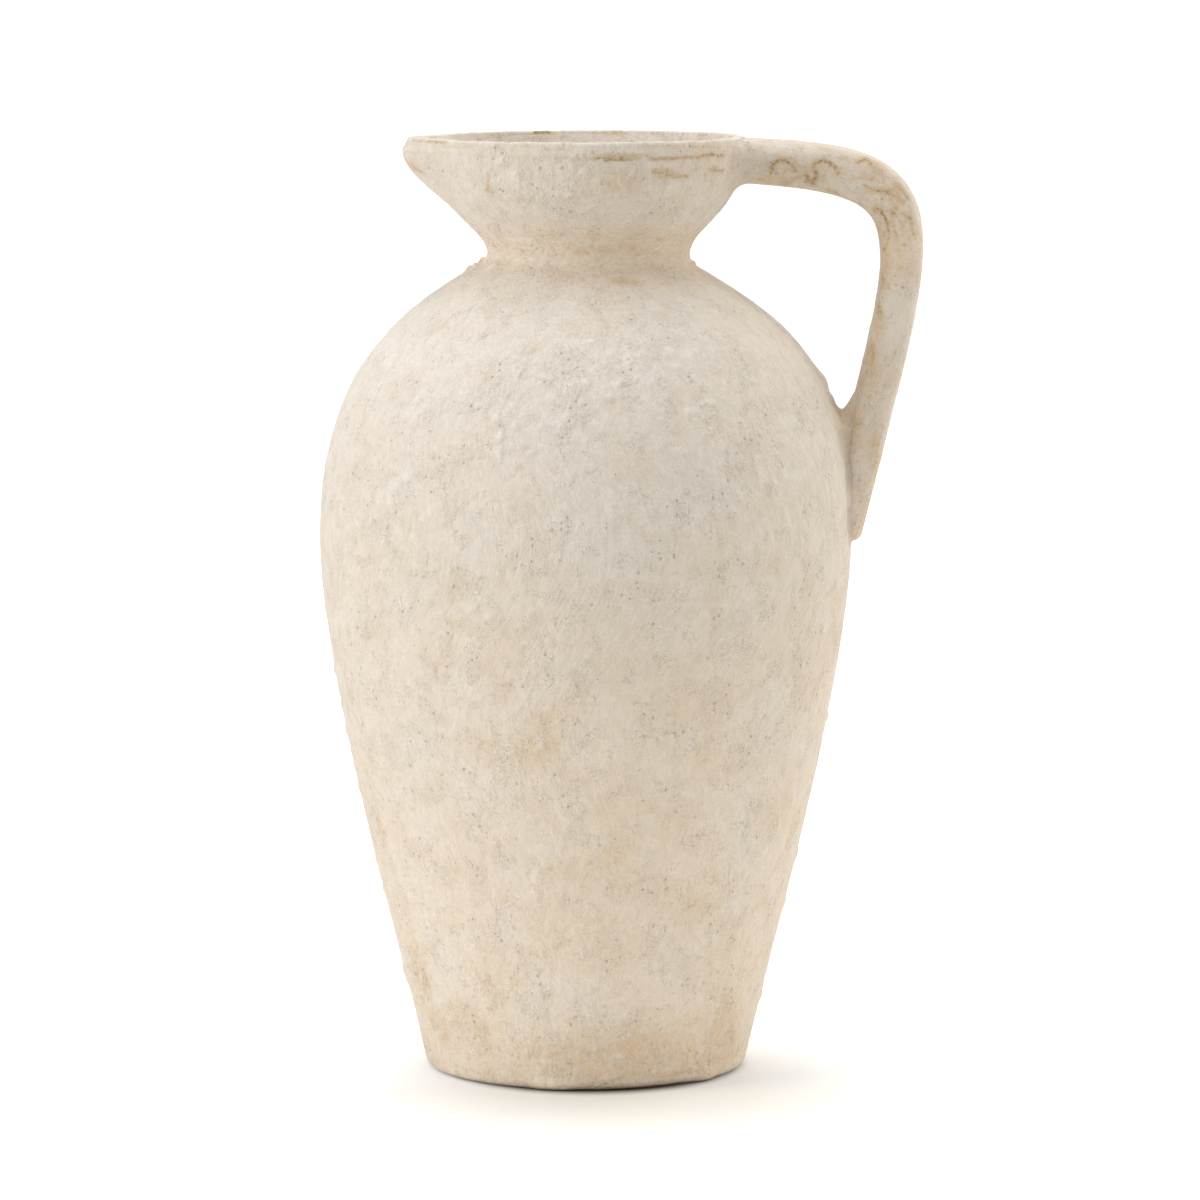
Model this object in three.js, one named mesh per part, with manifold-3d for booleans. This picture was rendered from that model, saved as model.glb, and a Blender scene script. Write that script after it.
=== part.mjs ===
// A hand-built terracotta jug vase with one strap handle. Sizes are millimetres, +Z is up, the pot
// turns about the Z axis and stands on z = 0, the handle is on the +X side and the spout on the -X side.
// The pot is thrown in sections that are luted together with slip. Each seam is a ridge in a groove, and
// soft clay is pressed over it: coils on the inside, and a roll of clay round each end of the handle.

import * as THREE from "three";
import { mergeVertices } from "three/addons/utils/BufferGeometryUtils.js";
import Module from "manifold-3d";

const wasm = await Module();
wasm.setup();

// Outside of the pot: radii, then heights, each height counted from the one before
const footRadius = 78.5;
const bellyRadius = 130;
const neckRadius = 49.3;
const rimRadius = 76.5;
const bellyHeight = 262;
const neckRise = 137.5;
const collarRise = 57.5;

// How the outline swells between those places: how long each curve pulls at its ends
const footPull = 13;
const bellyPullDown = 76;
const bellyPullUp = 79;
const shoulderPull = 24.7;
const shoulderSpread = 1.73; // outward per unit of height where the shoulder runs into the throat
const throatDrop = 6.5;
const throatFlareBelow = 6;
const throatRise = 12.5;
const throatFlareAbove = 7;
const funnelSpread = 1; // outward per unit of height where the funnel leaves the throat
const funnelPull = 13;
const rimPull = 25.5;

// Walls, seams and the coils over them
const wall = 8.5;
const floorThickness = 11;
const footRound = 4.5;
const beltHeight = 236; // seam between the two large thrown walls
const slipFilm = 0.4; // slip in every joint
const keyDepth = 2.4;
const keyWidth = 4.2;
const floorCoil = 7;
const beltCoil = 6;
const neckCoil = 5;
const coilSwell = 0.42; // how far a coil stands in from the wall, as a share of its height

// Lip: a coil laid on the edge of the funnel
const rimBand = 7.2;
const rimProud = 0.6;
const rimThickness = 9.6;
const rimCap = 3.8;

// Spout pulled out of the lip
const spoutReach = 13;
const spoutFoot = 37; // depth under the lip's top where the spout starts
const spoutFull = 8; // depth under the lip's top where it reaches furthest
const spoutRoll = 0.24; // share of the reach that rolls back towards the top
const spoutHalfAngle = THREE.MathUtils.degToRad(34);

// How far the shoulder leans and the collar is set off centre, both towards the handle
const shoulderLean = 1.4;
const leanDrop = 45; // the shoulder leans most this far under the neck
const leanEnd = 6; // its lean ends and the collar's shift starts this far under the neck
const collarShift = 1.6;

// Strap handle: its middle line, in the plane y = 0, and its section
const rootInset = 11.4;
const rootDrop = 11.4;
const strapFall = 2;
const strapTopPull = 72.5;
const handleStandOff = 24; // middle of the strap outside the widest part of the belly
const elbowDrop = 57.2;
const elbowPullUp = 35;
const elbowPullDown = 30;
const tailSink = 6.8;
const tailDrop = 1.4;
const tailSpread = 0.26;
const tailPull = 38;
const rootThickness = 21.6;
const bendThickness = 24;
const legThickness = 20;
const tailThickness = 22;
const strapWidth = 34;
const rootWidth = 44;
const tailWidth = 38;
const rootFlare = 0.18; // share of the strap's length over which it widens at each end
const tailFlare = 0.3;
const tailRound = 6;
const tailRings = [0.7, 0.4, 0.15, 0]; // shares of that rounding
const tailKept = 0.35; // share of the section that is left where the tail ends
const sectionPower = 3.4; // 2 is an ellipse, and more is squarer

// Rolls of clay pressed round the handle's two seats, and how far each spreads from the corner
const rootSpreadUnder = 5.5;
const rootSpreadEdge = 8;
const rootSpreadEnd = 3;
const crotchFill = 23;
const crotchSide = 19.5;
const tailSpreadEdge = 6.5;
const tailSpreadEnd = 2.2;
const seatHollow = 0.5; // 0 is a flat face from edge to edge, and 1 reaches into the corner
const seatFeather = 0.4;
const seatSunk = 3;

// Fineness
const turnSteps = 48;
const ringsPerCurve = [8, 11, 3, 3, 6];
const ringClearance = 1.2; // least height between a seam and the next ring
const slopeStep = 1; // heights this far up and down give the wall's slope
const strapSteps = 28;
const strapSides = 20;
const seatSteps = 11;

const neckHeight = bellyHeight + neckRise;
const rimHeight = neckHeight + collarRise;
const rimSeam = rimHeight - rimBand;

// Outline

function drawOutline() {
  const below = new THREE.Vector2(neckRadius + throatFlareBelow, neckHeight - throatDrop);
  const above = new THREE.Vector2(neckRadius + throatFlareAbove, neckHeight + throatRise);
  const path = new THREE.Path();
  path.moveTo(footRadius, 0);
  path.bezierCurveTo(
    footRadius,
    footPull,
    bellyRadius,
    bellyHeight - bellyPullDown,
    bellyRadius,
    bellyHeight,
  );
  path.bezierCurveTo(
    bellyRadius,
    bellyHeight + bellyPullUp,
    below.x + shoulderSpread * shoulderPull,
    below.y - shoulderPull,
    below.x,
    below.y,
  );
  path.quadraticCurveTo(neckRadius, below.y + throatFlareBelow / shoulderSpread, neckRadius, neckHeight);
  path.quadraticCurveTo(neckRadius, above.y - throatFlareAbove / funnelSpread, above.x, above.y);
  path.bezierCurveTo(
    above.x + funnelSpread * funnelPull,
    above.y + funnelPull,
    rimRadius,
    rimHeight - rimPull,
    rimRadius,
    rimHeight,
  );
  return path;
}

// A line moved inwards by a depth, as closely spaced points from the foot up.
function setIn(points, depth) {
  return points.map((point, i) => {
    const before = points[Math.max(i - 1, 0)];
    const after = points[Math.min(i + 1, points.length - 1)];
    const along = after.clone().sub(before).normalize();
    return new THREE.Vector2(point.x - along.y * depth, point.y + along.x * depth);
  });
}

function radiusAt(line, height) {
  const next = line.findIndex((point) => point.y >= height);
  if (next === -1) return line[line.length - 1].x;
  if (next === 0) return line[0].x;
  const below = line[next - 1];
  const share = (height - below.y) / (line[next].y - below.y);
  return THREE.MathUtils.lerp(below.x, line[next].x, share);
}

const outline = drawOutline();
const outside = outline.getPoints(60);
const inside = setIn(outside, wall);
const ringHeights = outline.curves.flatMap((curve, i) =>
  curve.getPoints(ringsPerCurve[i]).slice(1).map((point) => point.y),
);

// A wall's inside also has rings where the seam coils end, so that a coil's back lies along it.
const coilEnds = [
  floorThickness + slipFilm + floorCoil,
  beltHeight - beltCoil,
  beltHeight + beltCoil,
  neckHeight - neckCoil,
  neckHeight + neckCoil,
];

// The points of a line at those of some heights that are clear of the seams below and above.
function skin(line, heights, from, to) {
  return heights
    .filter((height) => height > from + ringClearance && height < to - ringClearance)
    .sort((a, b) => a - b)
    .map((height) => new THREE.Vector2(radiusAt(line, height), height));
}

// Solids

function solidOf(geometry) {
  const bare = geometry.clone();
  bare.deleteAttribute("normal");
  bare.deleteAttribute("uv");
  const merged = mergeVertices(bare, 1e-4);
  const mesh = new wasm.Mesh({
    numProp: 3,
    vertProperties: merged.attributes.position.array,
    triVerts: new Uint32Array(merged.index.array),
  });
  return new wasm.Manifold(mesh);
}

function geometryOf(solid) {
  const { vertProperties, triVerts } = solid.getMesh();
  const geometry = new THREE.BufferGeometry();
  geometry.setAttribute("position", new THREE.BufferAttribute(vertProperties, 3));
  geometry.setIndex(new THREE.BufferAttribute(triVerts, 1));
  return geometry;
}

// A skin over rings of points, closed by a fan from the first point of each end ring.
function loft(rings) {
  const sides = rings[0].length;
  const faces = [];
  for (let i = 0; i + 1 < rings.length; i++) {
    for (let j = 0; j < sides; j++) {
      const a = i * sides + j;
      const b = i * sides + ((j + 1) % sides);
      faces.push(a, b, a + sides, b, b + sides, a + sides);
    }
  }
  const last = (rings.length - 1) * sides;
  for (let j = 1; j + 1 < sides; j++) {
    faces.push(0, j + 1, j, last, last + j, last + j + 1);
  }
  const geometry = new THREE.BufferGeometry().setFromPoints(rings.flat());
  geometry.setIndex(faces);
  return geometry;
}

// What the potter's hands do to the turned shape

// 1 in the middle of a stretch of heights, and 0 at its ends and beyond them.
function swell(height, from, to, until) {
  const up = THREE.MathUtils.smoothstep(height, from, to);
  return up * (1 - THREE.MathUtils.smoothstep(height, to, until));
}

function shiftAt(height) {
  const shoulder = swell(height, bellyHeight, neckHeight - leanDrop, neckHeight - leanEnd);
  const collar = swell(height, neckHeight - leanEnd, neckHeight, rimHeight);
  return shoulderLean * shoulder + collarShift * collar;
}

function spoutAt(height) {
  const out = THREE.MathUtils.smoothstep(height, rimHeight - spoutFoot, rimHeight - spoutFull);
  const back = THREE.MathUtils.smoothstep(height, rimHeight - spoutFull, rimHeight);
  return spoutReach * (out - spoutRoll * back);
}

// Moves a turned geometry's points: the spout draws the outside of the lip out, and the neck shifts.
function handShaped(geometry) {
  const place = geometry.attributes.position;
  for (let i = 0; i < place.count; i++) {
    const [x, y, z] = [place.getX(i), place.getY(i), place.getZ(i)];
    const radius = Math.hypot(x, y);
    const away = Math.abs(Math.atan2(y, -x)) / spoutHalfAngle;
    const pinch = away < 1 ? Math.cos((Math.PI / 2) * away) ** 2 : 0;
    const [least, most] = [radiusAt(inside, z), radiusAt(outside, z)];
    const depth = THREE.MathUtils.clamp((radius - least) / (most - least), 0, 1);
    const grown = radius > 0 ? 1 + (pinch * depth * spoutAt(z)) / radius : 1;
    place.setXY(i, x * grown + shiftAt(z), y * grown);
  }
  return geometry;
}

// A closed section of (radius, height) points, turned about the pot's axis.
function turned(section) {
  const geometry = new THREE.LatheGeometry([...section, section[0]], turnSteps);
  geometry.rotateX(Math.PI / 2);
  return handShaped(geometry);
}

// Thrown pieces

// One face of a seam, from the inside of the wall out, with the ridge that hangs into the groove.
function seamFace(height, lift = 0) {
  const middle = (radiusAt(inside, height) + radiusAt(outside, height)) / 2;
  const face = height + lift;
  return [
    new THREE.Vector2(radiusAt(inside, face), face),
    new THREE.Vector2(middle - keyWidth / 2, face),
    new THREE.Vector2(middle, face - keyDepth),
    new THREE.Vector2(middle + keyWidth / 2, face),
    new THREE.Vector2(radiusAt(outside, face), face),
  ];
}

function thrownWall(bottom, top) {
  const fewer = ringHeights.filter((height, i) => i % 2 === 1 || height > neckHeight);
  return turned([
    ...seamFace(bottom, slipFilm),
    ...skin(outside, ringHeights, bottom, top),
    ...seamFace(top).reverse(),
    ...skin(inside, [...fewer, ...coilEnds], bottom, top).reverse(),
  ]);
}

function floorSlab() {
  const round = new THREE.Path();
  round.absarc(radiusAt(outside, footRound) - footRound, footRound, footRound, -Math.PI / 2, 0, false);
  const [, ...top] = seamFace(floorThickness);
  return turned([
    new THREE.Vector2(0, 0),
    ...round.getPoints(3),
    ...top.reverse(),
    new THREE.Vector2(0, floorThickness),
  ]);
}

function rimCoil() {
  const outer = radiusAt(outside, rimSeam) + rimProud;
  const middle = outer - rimThickness / 2;
  const cap = new THREE.Path();
  cap.absellipse(middle, rimHeight - rimCap, rimThickness / 2, rimCap, 0, Math.PI, false, 0);
  const ridge = seamFace(rimSeam, slipFilm).slice(1, -1);
  return turned([
    new THREE.Vector2(outer - rimThickness, rimSeam + slipFilm),
    ...ridge,
    new THREE.Vector2(outer, rimSeam + slipFilm),
    ...cap.getPoints(6),
  ]);
}

// A coil pressed over a seam on the inside of the wall.
function seamCoil(height, size) {
  const line = setIn(outside, wall + slipFilm);
  const [low, middle, high] = [-size, 0, size].map(
    (up) => new THREE.Vector2(radiusAt(line, height + up), height + up),
  );
  const inwards = new THREE.Vector2(low.y - high.y, high.x - low.x).multiplyScalar(coilSwell);
  const face = new THREE.QuadraticBezierCurve(high, middle.clone().add(inwards), low).getPoints(3);
  return turned([low, middle, ...face.slice(0, -1)]);
}

// The coil in the corner between the floor and the wall.
function floorCornerCoil() {
  const line = setIn(outside, wall + slipFilm);
  const low = floorThickness + slipFilm;
  const corner = new THREE.Vector2(radiusAt(line, low), low);
  const up = new THREE.Vector2(radiusAt(line, low + floorCoil), low + floorCoil);
  const across = new THREE.Vector2(corner.x - floorCoil, low);
  const swell = up.clone().add(across).sub(corner).lerp(corner, 1 - coilSwell);
  const face = new THREE.QuadraticBezierCurve(up, swell, across).getPoints(3);
  return turned([corner, ...face]);
}

// The whole pot as one solid with no hollow, grown by the film of slip. It cuts what is luted to the pot.
function potToLute() {
  const grown = setIn(outside, -slipFilm);
  const lip = radiusAt(outside, rimSeam) + rimProud + slipFilm;
  const half = rimThickness / 2 + slipFilm;
  const cap = new THREE.Path();
  cap.absellipse(lip - half, rimHeight - rimCap, half, rimCap + slipFilm, 0, Math.PI / 2, false, 0);
  return solidOf(
    turned([
      new THREE.Vector2(0, 0),
      new THREE.Vector2(grown[0].x, 0),
      ...skin(grown, ringHeights, 0, rimSeam),
      new THREE.Vector2(lip, rimSeam - slipFilm),
      ...cap.getPoints(4),
      new THREE.Vector2(0, rimHeight + slipFilm),
    ]),
  );
}

// Strap handle

const inPlane = (x, z) => new THREE.Vector3(x, 0, z);

function strapLine() {
  const root = inPlane(rimRadius - rootInset, rimHeight - rootDrop);
  const elbow = inPlane(bellyRadius + handleStandOff, rimHeight - elbowDrop);
  const tail = inPlane(bellyRadius - tailSink, bellyHeight - tailDrop);
  const line = new THREE.CurvePath();
  line.add(
    new THREE.CubicBezierCurve3(
      root,
      inPlane(root.x + strapTopPull, root.z - strapFall),
      inPlane(elbow.x, elbow.z + elbowPullUp),
      elbow,
    ),
  );
  line.add(
    new THREE.CubicBezierCurve3(
      elbow,
      inPlane(elbow.x, elbow.z - elbowPullDown),
      inPlane(tail.x + tailSpread * tailPull, tail.z + tailPull),
      tail,
    ),
  );
  return line;
}

const strap = strapLine();
const strapLength = strap.getLength();

// The value at a share of a length, from [share, value] pairs.
function along(pairs, share) {
  const next = pairs.findIndex(([at]) => at >= share);
  if (next <= 0) return pairs[Math.max(next, 0)][1];
  const [[from, low], [to, high]] = [pairs[next - 1], pairs[next]];
  return low + (high - low) * THREE.MathUtils.smoothstep(share, from, to);
}

const thicknesses = [
  [0, rootThickness],
  [0.3, bendThickness],
  [0.48, legThickness],
  [0.72, legThickness],
  [1, tailThickness],
];
const widths = [
  [rootInset / strapLength, rootWidth],
  [rootInset / strapLength + rootFlare, strapWidth],
  [1 - tailFlare, strapWidth],
  [1, tailWidth],
];

// A point of the strap's skin. Turn 0 is its +Y edge, a quarter turn on is its back, and a quarter turn
// the other way is its inner face.
function strapPoint(share, turn, grow = 0) {
  const forward = strap.getTangent(share);
  const left = ((1 - share) * strapLength) / tailRound;
  const kept = left < 1 ? tailKept + (1 - tailKept) * Math.sqrt(1 - (1 - left) ** 2) : 1;
  const [c, s] = [Math.cos(turn), Math.sin(turn)];
  const wide = Math.sign(c) * Math.abs(c) ** (2 / sectionPower) * ((along(widths, share) / 2) * kept + grow);
  const thick =
    Math.sign(s) * Math.abs(s) ** (2 / sectionPower) * ((along(thicknesses, share) / 2) * kept + grow);
  return strap.getPoint(share).add(new THREE.Vector3(-forward.z * thick, wide, forward.x * thick));
}

function strapNormal(share, turn) {
  const forward = strap.getTangent(share);
  const [c, s] = [Math.cos(turn), Math.sin(turn)];
  const across = (Math.sign(c) * Math.abs(c) ** (2 - 2 / sectionPower)) / along(widths, share);
  const back = (Math.sign(s) * Math.abs(s) ** (2 - 2 / sectionPower)) / along(thicknesses, share);
  return new THREE.Vector3(-forward.z * back, across, forward.x * back).normalize();
}

function sweptStrap(grow) {
  const shares = [];
  for (let i = 0; i < strapSteps; i++) shares.push(i / strapSteps);
  for (const left of tailRings) shares.push(1 - (left * tailRound) / strapLength);
  const rings = shares.map((share) => {
    const ring = [];
    for (let i = 0; i < strapSides; i++) ring.push(strapPoint(share, (2 * Math.PI * i) / strapSides, grow));
    return ring;
  });
  return solidOf(loft(rings));
}

const lutedPot = potToLute();
const strapSolid = sweptStrap(0).subtract(lutedPot);
const lutedStrap = sweptStrap(slipFilm);

// Seat coils: soft clay pressed into the corner between the strap and the pot

function heightOverPot(point) {
  return Math.hypot(point.x - shiftAt(point.z), point.y) - radiusAt(outside, point.z);
}

function potNormal(point) {
  const normal = new THREE.Vector3(point.x - shiftAt(point.z), point.y, 0).normalize();
  const [under, over] = [point.z - slopeStep, point.z + slopeStep];
  normal.z = (radiusAt(outside, under) - radiusAt(outside, over)) / (over - under);
  return normal.normalize();
}

function ontoPot(point) {
  return point.clone().addScaledVector(potNormal(point), -heightOverPot(point));
}

function ontoStrap(point, startShare) {
  let share = startShare;
  for (let i = 0; i < 4; i++) {
    const ahead = point.clone().sub(strap.getPoint(share)).dot(strap.getTangent(share));
    share = THREE.MathUtils.clamp(share + ahead / strapLength, 0, 1);
  }
  const middle = strap.getPoint(share);
  const forward = strap.getTangent(share);
  const off = point.clone().sub(middle);
  const wide = Math.abs(off.y) / (along(widths, share) / 2);
  const thick = Math.abs(off.z * forward.x - off.x * forward.z) / (along(thicknesses, share) / 2);
  return middle.addScaledVector(off, (wide ** sectionPower + thick ** sectionPower) ** (-1 / sectionPower));
}

// The share of the strap's length at which one line of its skin goes into the pot.
function shareAtPot(standing, sunk, turn) {
  let [clear, under] = [standing, sunk];
  for (let i = 0; i < 30; i++) {
    const half = (clear + under) / 2;
    if (heightOverPot(strapPoint(half, turn)) > 0) clear = half;
    else under = half;
  }
  return clear;
}

// One ring of a seat coil: a hollow face from the strap to the pot, and a back that is sunk into both.
function seatRing(share, turn, spread) {
  const corner = strapPoint(share, turn);
  const fromStrap = strapNormal(share, turn);
  const fromPot = potNormal(corner);
  const up = fromPot.clone().projectOnPlane(fromStrap).normalize();
  const aside = fromStrap.clone().projectOnPlane(fromPot).normalize();
  const onStrap = ontoStrap(corner.clone().addScaledVector(up, spread), share);
  const onPot = ontoPot(corner.clone().addScaledVector(aside, spread));
  onStrap.addScaledVector(fromStrap, -seatFeather);
  onPot.addScaledVector(fromPot, -seatFeather);
  const hollow = onStrap.clone().lerp(onPot, 0.5).lerp(corner, seatHollow);
  return [
    corner.clone().addScaledVector(fromStrap, -seatSunk).addScaledVector(fromPot, -seatSunk),
    onStrap.clone().addScaledVector(fromStrap, -seatSunk),
    ...new THREE.QuadraticBezierCurve3(onStrap, hollow, onPot).getPoints(5),
    onPot.clone().addScaledVector(fromPot, -seatSunk),
  ];
}

// A roll of clay swept round the strap's inner face and both its edges. Its spread is a list of
// [share of the way from the middle of the inner face to the end of the roll, mm] pairs.
function seatCoil({ standing, sunk, reach, spread }) {
  const rings = [];
  for (let i = -seatSteps; i <= seatSteps; i++) {
    const turn = (i / seatSteps) * reach - Math.PI / 2;
    const share = shareAtPot(standing, sunk, turn);
    rings.push(seatRing(share, turn, along(spread, Math.abs(i / seatSteps))));
  }
  const pieces = solidOf(loft(rings)).subtract(lutedPot).subtract(lutedStrap).decompose();
  return pieces.reduce((most, piece) => (piece.volume() > most.volume() ? piece : most));
}

const rootSeat = {
  standing: 0.3,
  sunk: 0,
  reach: THREE.MathUtils.degToRad(112),
  spread: [[0, rootSpreadUnder], [0.6, rootSpreadEdge], [1, rootSpreadEnd]],
};
const tailSeat = {
  standing: 0.6,
  sunk: 1,
  reach: -THREE.MathUtils.degToRad(112),
  spread: [[0, crotchFill], [0.22, crotchSide], [0.5, tailSpreadEdge], [1, tailSpreadEnd]],
};

// Assembly

const vase = new THREE.Group();

function add(name, geometry, color, roughness) {
  const mesh = new THREE.Mesh(geometry, new THREE.MeshStandardMaterial({ color, roughness, metalness: 0 }));
  mesh.name = name;
  vase.add(mesh);
}

const limewash = 0xdccfbc;
const bareClay = 0xc8a184;

add("floor_slab", floorSlab(), limewash, 0.95);
add("lower_wall", thrownWall(floorThickness, beltHeight), limewash, 0.95);
add("shoulder_wall", thrownWall(beltHeight, neckHeight), limewash, 0.95);
add("neck_collar", thrownWall(neckHeight, rimSeam), limewash, 0.95);
add("rim_coil", rimCoil(), limewash, 0.93);
add("strap_handle", geometryOf(strapSolid), limewash, 0.93);
add("root_seat_coil", geometryOf(seatCoil(rootSeat)), limewash, 0.95);
add("tail_seat_coil", geometryOf(seatCoil(tailSeat)), limewash, 0.95);
add("floor_seam_coil", floorCornerCoil(), bareClay, 0.97);
add("belt_seam_coil", seamCoil(beltHeight, beltCoil), bareClay, 0.97);
add("neck_seam_coil", seamCoil(neckHeight, neckCoil), bareClay, 0.97);

export default vase;
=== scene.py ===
import itertools
import math

import bpy
import numpy as np
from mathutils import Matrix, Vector


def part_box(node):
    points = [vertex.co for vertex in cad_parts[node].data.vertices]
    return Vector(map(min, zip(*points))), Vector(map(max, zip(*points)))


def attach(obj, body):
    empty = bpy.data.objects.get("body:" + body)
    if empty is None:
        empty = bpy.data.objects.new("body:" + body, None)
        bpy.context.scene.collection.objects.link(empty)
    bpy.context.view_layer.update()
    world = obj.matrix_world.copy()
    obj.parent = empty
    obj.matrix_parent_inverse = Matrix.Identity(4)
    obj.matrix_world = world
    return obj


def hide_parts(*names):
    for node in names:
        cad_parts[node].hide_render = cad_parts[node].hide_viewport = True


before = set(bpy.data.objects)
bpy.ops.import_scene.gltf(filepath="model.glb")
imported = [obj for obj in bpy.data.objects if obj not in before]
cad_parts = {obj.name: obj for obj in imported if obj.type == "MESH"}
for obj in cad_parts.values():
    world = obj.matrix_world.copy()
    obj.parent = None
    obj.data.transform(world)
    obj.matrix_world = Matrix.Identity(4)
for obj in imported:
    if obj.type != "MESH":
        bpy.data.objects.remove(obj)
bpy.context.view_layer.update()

# Shapes are worked out in millimetres, and become metres when a mesh is made. The pot turns about the Z axis,
# the handle is at azimuth 0 (+X), the spout at 180 degrees (-X) and the front at -90 degrees (-Y).
METRE = 0.001


def box_mm(node):
    low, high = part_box(node)
    return np.array(low) / METRE, np.array(high) / METRE


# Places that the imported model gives
floor_top = box_mm("floor_slab")[1][2]
belt_height = box_mm("lower_wall")[1][2]
neck_height = box_mm("shoulder_wall")[1][2]
rim_seam = box_mm("neck_collar")[1][2]
rim_height = box_mm("rim_coil")[1][2]
belly_radius = box_mm("shoulder_wall")[1][1]

# The outline, as in the solids
foot_radius = 78.5
neck_radius = 49.3
rim_radius = 76.5
belly_height = neck_height - 137.5
foot_pull = 13
belly_pull_down = 76
belly_pull_up = 79
shoulder_pull = 24.7
shoulder_spread = 1.73
throat_drop = 6.5
throat_flare_below = 6
throat_rise = 12.5
throat_flare_above = 7
funnel_spread = 1
funnel_pull = 13
rim_pull = 25.5
wall = 8.5
foot_round = 4.5
rim_proud = 0.6
rim_crest = 3.8  # how far the lip's crest reaches in
rim_edge = 1.3  # rounding of the lip's edges

# What the potter's hands did to it
spout_reach = 13
spout_foot = 37
spout_full = 8
spout_roll = 0.24
spout_half_angle = math.radians(34)
shoulder_lean = 1.4
lean_drop = 45
lean_end = 6
collar_shift = 1.6
rim_droop = 0.4  # the lip's far left side is this much lower

# Strap handle
root_inset = 11.4
root_drop = 11.4
strap_fall = 2
strap_top_pull = 72.5
handle_stand_off = 24
elbow_drop = 57.2
elbow_pull_up = 35
elbow_pull_down = 30
tail_sink = 6.8
tail_drop = 1.4
tail_spread = 0.26
tail_pull = 38
root_thickness = 21.6
bend_thickness = 24
leg_thickness = 20
tail_thickness = 22
strap_width = 34
root_width = 44
tail_width = 38
root_flare = 0.18
tail_flare = 0.3
tail_round = 6
tail_kept = 0.35
section_power = 3.4

# Fineness of the meshes
around = 600
outside_step = 1.6
lip_step = 0.8
mouth_step = 1.5
inside_step = 5
strap_step = 0.8
strap_around = 128
seat_rows = 18
seat_columns = 120


# Small mathematics

def ramp(low, high, value):
    share = np.clip((value - low) / (high - low), 0, 1)
    return share * share * (3 - 2 * share)


def swell(value, start, top, end):
    return ramp(start, top, value) * (1 - ramp(top, end, value))


def curve(controls, count):
    """Points of the Bezier curve with these control points."""
    share = np.linspace(0, 1, count + 1)[:, None]
    points = [np.array(c, float) for c in controls]
    while len(points) > 1:
        points = [a + (b - a) * share for a, b in zip(points, points[1:])]
    return points[0]


def length_to(points):
    """How long a line is up to each of its points."""
    return np.concatenate([[0], np.cumsum(np.linalg.norm(np.diff(points, axis=0), axis=1))])


def read_off(wanted, places, rows):
    """Rows of numbers that belong to places, read off at other places between them."""
    return np.stack([np.interp(wanted, places, column) for column in rows.T], axis=-1)


def respaced(points, step):
    """The same line with evenly spaced points, and its two ends kept."""
    gone = length_to(points)
    return read_off(np.linspace(0, gone[-1], max(int(round(gone[-1] / step)), 1) + 1), gone, points)


def unit(vectors):
    return vectors / np.maximum(np.linalg.norm(vectors, axis=-1, keepdims=True), 1e-12)


directions = unit(np.random.default_rng(11).normal(size=(256, 3))).astype(np.float32)


def noise(points, size, seed=0):
    """Smooth noise of about -1 to 1 that turns over in lengths of size."""
    shape = points.shape[:-1]
    place = points.reshape(-1, 3) / size + seed * 7.31
    cell = np.floor(place).astype(np.int64)
    inside_cell = (place - cell).astype(np.float32)
    ease = inside_cell ** 3 * (inside_cell * (inside_cell * 6 - 15) + 10)
    total = np.zeros(len(place), np.float32)
    for corner in itertools.product((0, 1), repeat=3):
        x, y, z = (cell + corner).T
        mixed = (x * 73856093) ^ (y * 19349663) ^ (z * 83492791) ^ (seed * 2654435761)
        mixed = (mixed ^ (mixed >> 13)) * 1274126177
        slope = directions[(mixed ^ (mixed >> 16)) & 255]
        weight = np.prod(np.where(corner, ease, 1 - ease), axis=1)
        total += weight * ((inside_cell - np.array(corner, np.float32)) * slope).sum(1)
    return (total * 1.55).reshape(shape)


def layered(points, size, layers, seed=0):
    """Noise with finer and weaker noise added to it."""
    total = sum(noise(points, size / 2 ** i, seed + i) * 0.5 ** i for i in range(layers))
    return total / sum(0.5 ** i for i in range(layers))


# Outline of the pot

def draw_outline():
    below = np.array([neck_radius + throat_flare_below, neck_height - throat_drop])
    above = np.array([neck_radius + throat_flare_above, neck_height + throat_rise])
    foot = (foot_radius, 0)
    belly = (belly_radius, belly_height)
    neck = (neck_radius, neck_height)
    rim = (rim_radius, rim_height)
    curves = [
        [foot, (foot_radius, foot_pull), (belly_radius, belly_height - belly_pull_down), belly],
        [
            belly,
            (belly_radius, belly_height + belly_pull_up),
            below + np.array([shoulder_spread, -1]) * shoulder_pull,
            below,
        ],
        [below, (neck_radius, below[1] + throat_flare_below / shoulder_spread), neck],
        [neck, (neck_radius, above[1] - throat_flare_above / funnel_spread), above],
        [above, above + np.array([funnel_spread, 1]) * funnel_pull, (rim_radius, rim_height - rim_pull), rim],
    ]
    return np.concatenate([curve(c, 80)[:-1] for c in curves] + [[rim]])


def set_in(line, depth):
    along = unit(np.gradient(line, axis=0))
    return line + np.stack([-along[:, 1], along[:, 0]], axis=1) * depth


outside = draw_outline()
inside = set_in(outside, wall)


def radius_at(line, height):
    return np.interp(height, line[:, 1], line[:, 0])


def stretch(line, low, high):
    """The part of a line between two heights."""
    between = line[(line[:, 1] > low) & (line[:, 1] < high)]
    ends = [[radius_at(line, h), h] for h in (low, high)]
    return np.concatenate([ends[:1], between, ends[1:]])


def foot_arc():
    outer = radius_at(outside, foot_round)
    turn = np.linspace(-math.pi / 2, 0, 12)[:, None]
    centre = np.array([outer - foot_round, foot_round])
    return centre + foot_round * np.concatenate([np.cos(turn), np.sin(turn)], axis=1)


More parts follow.
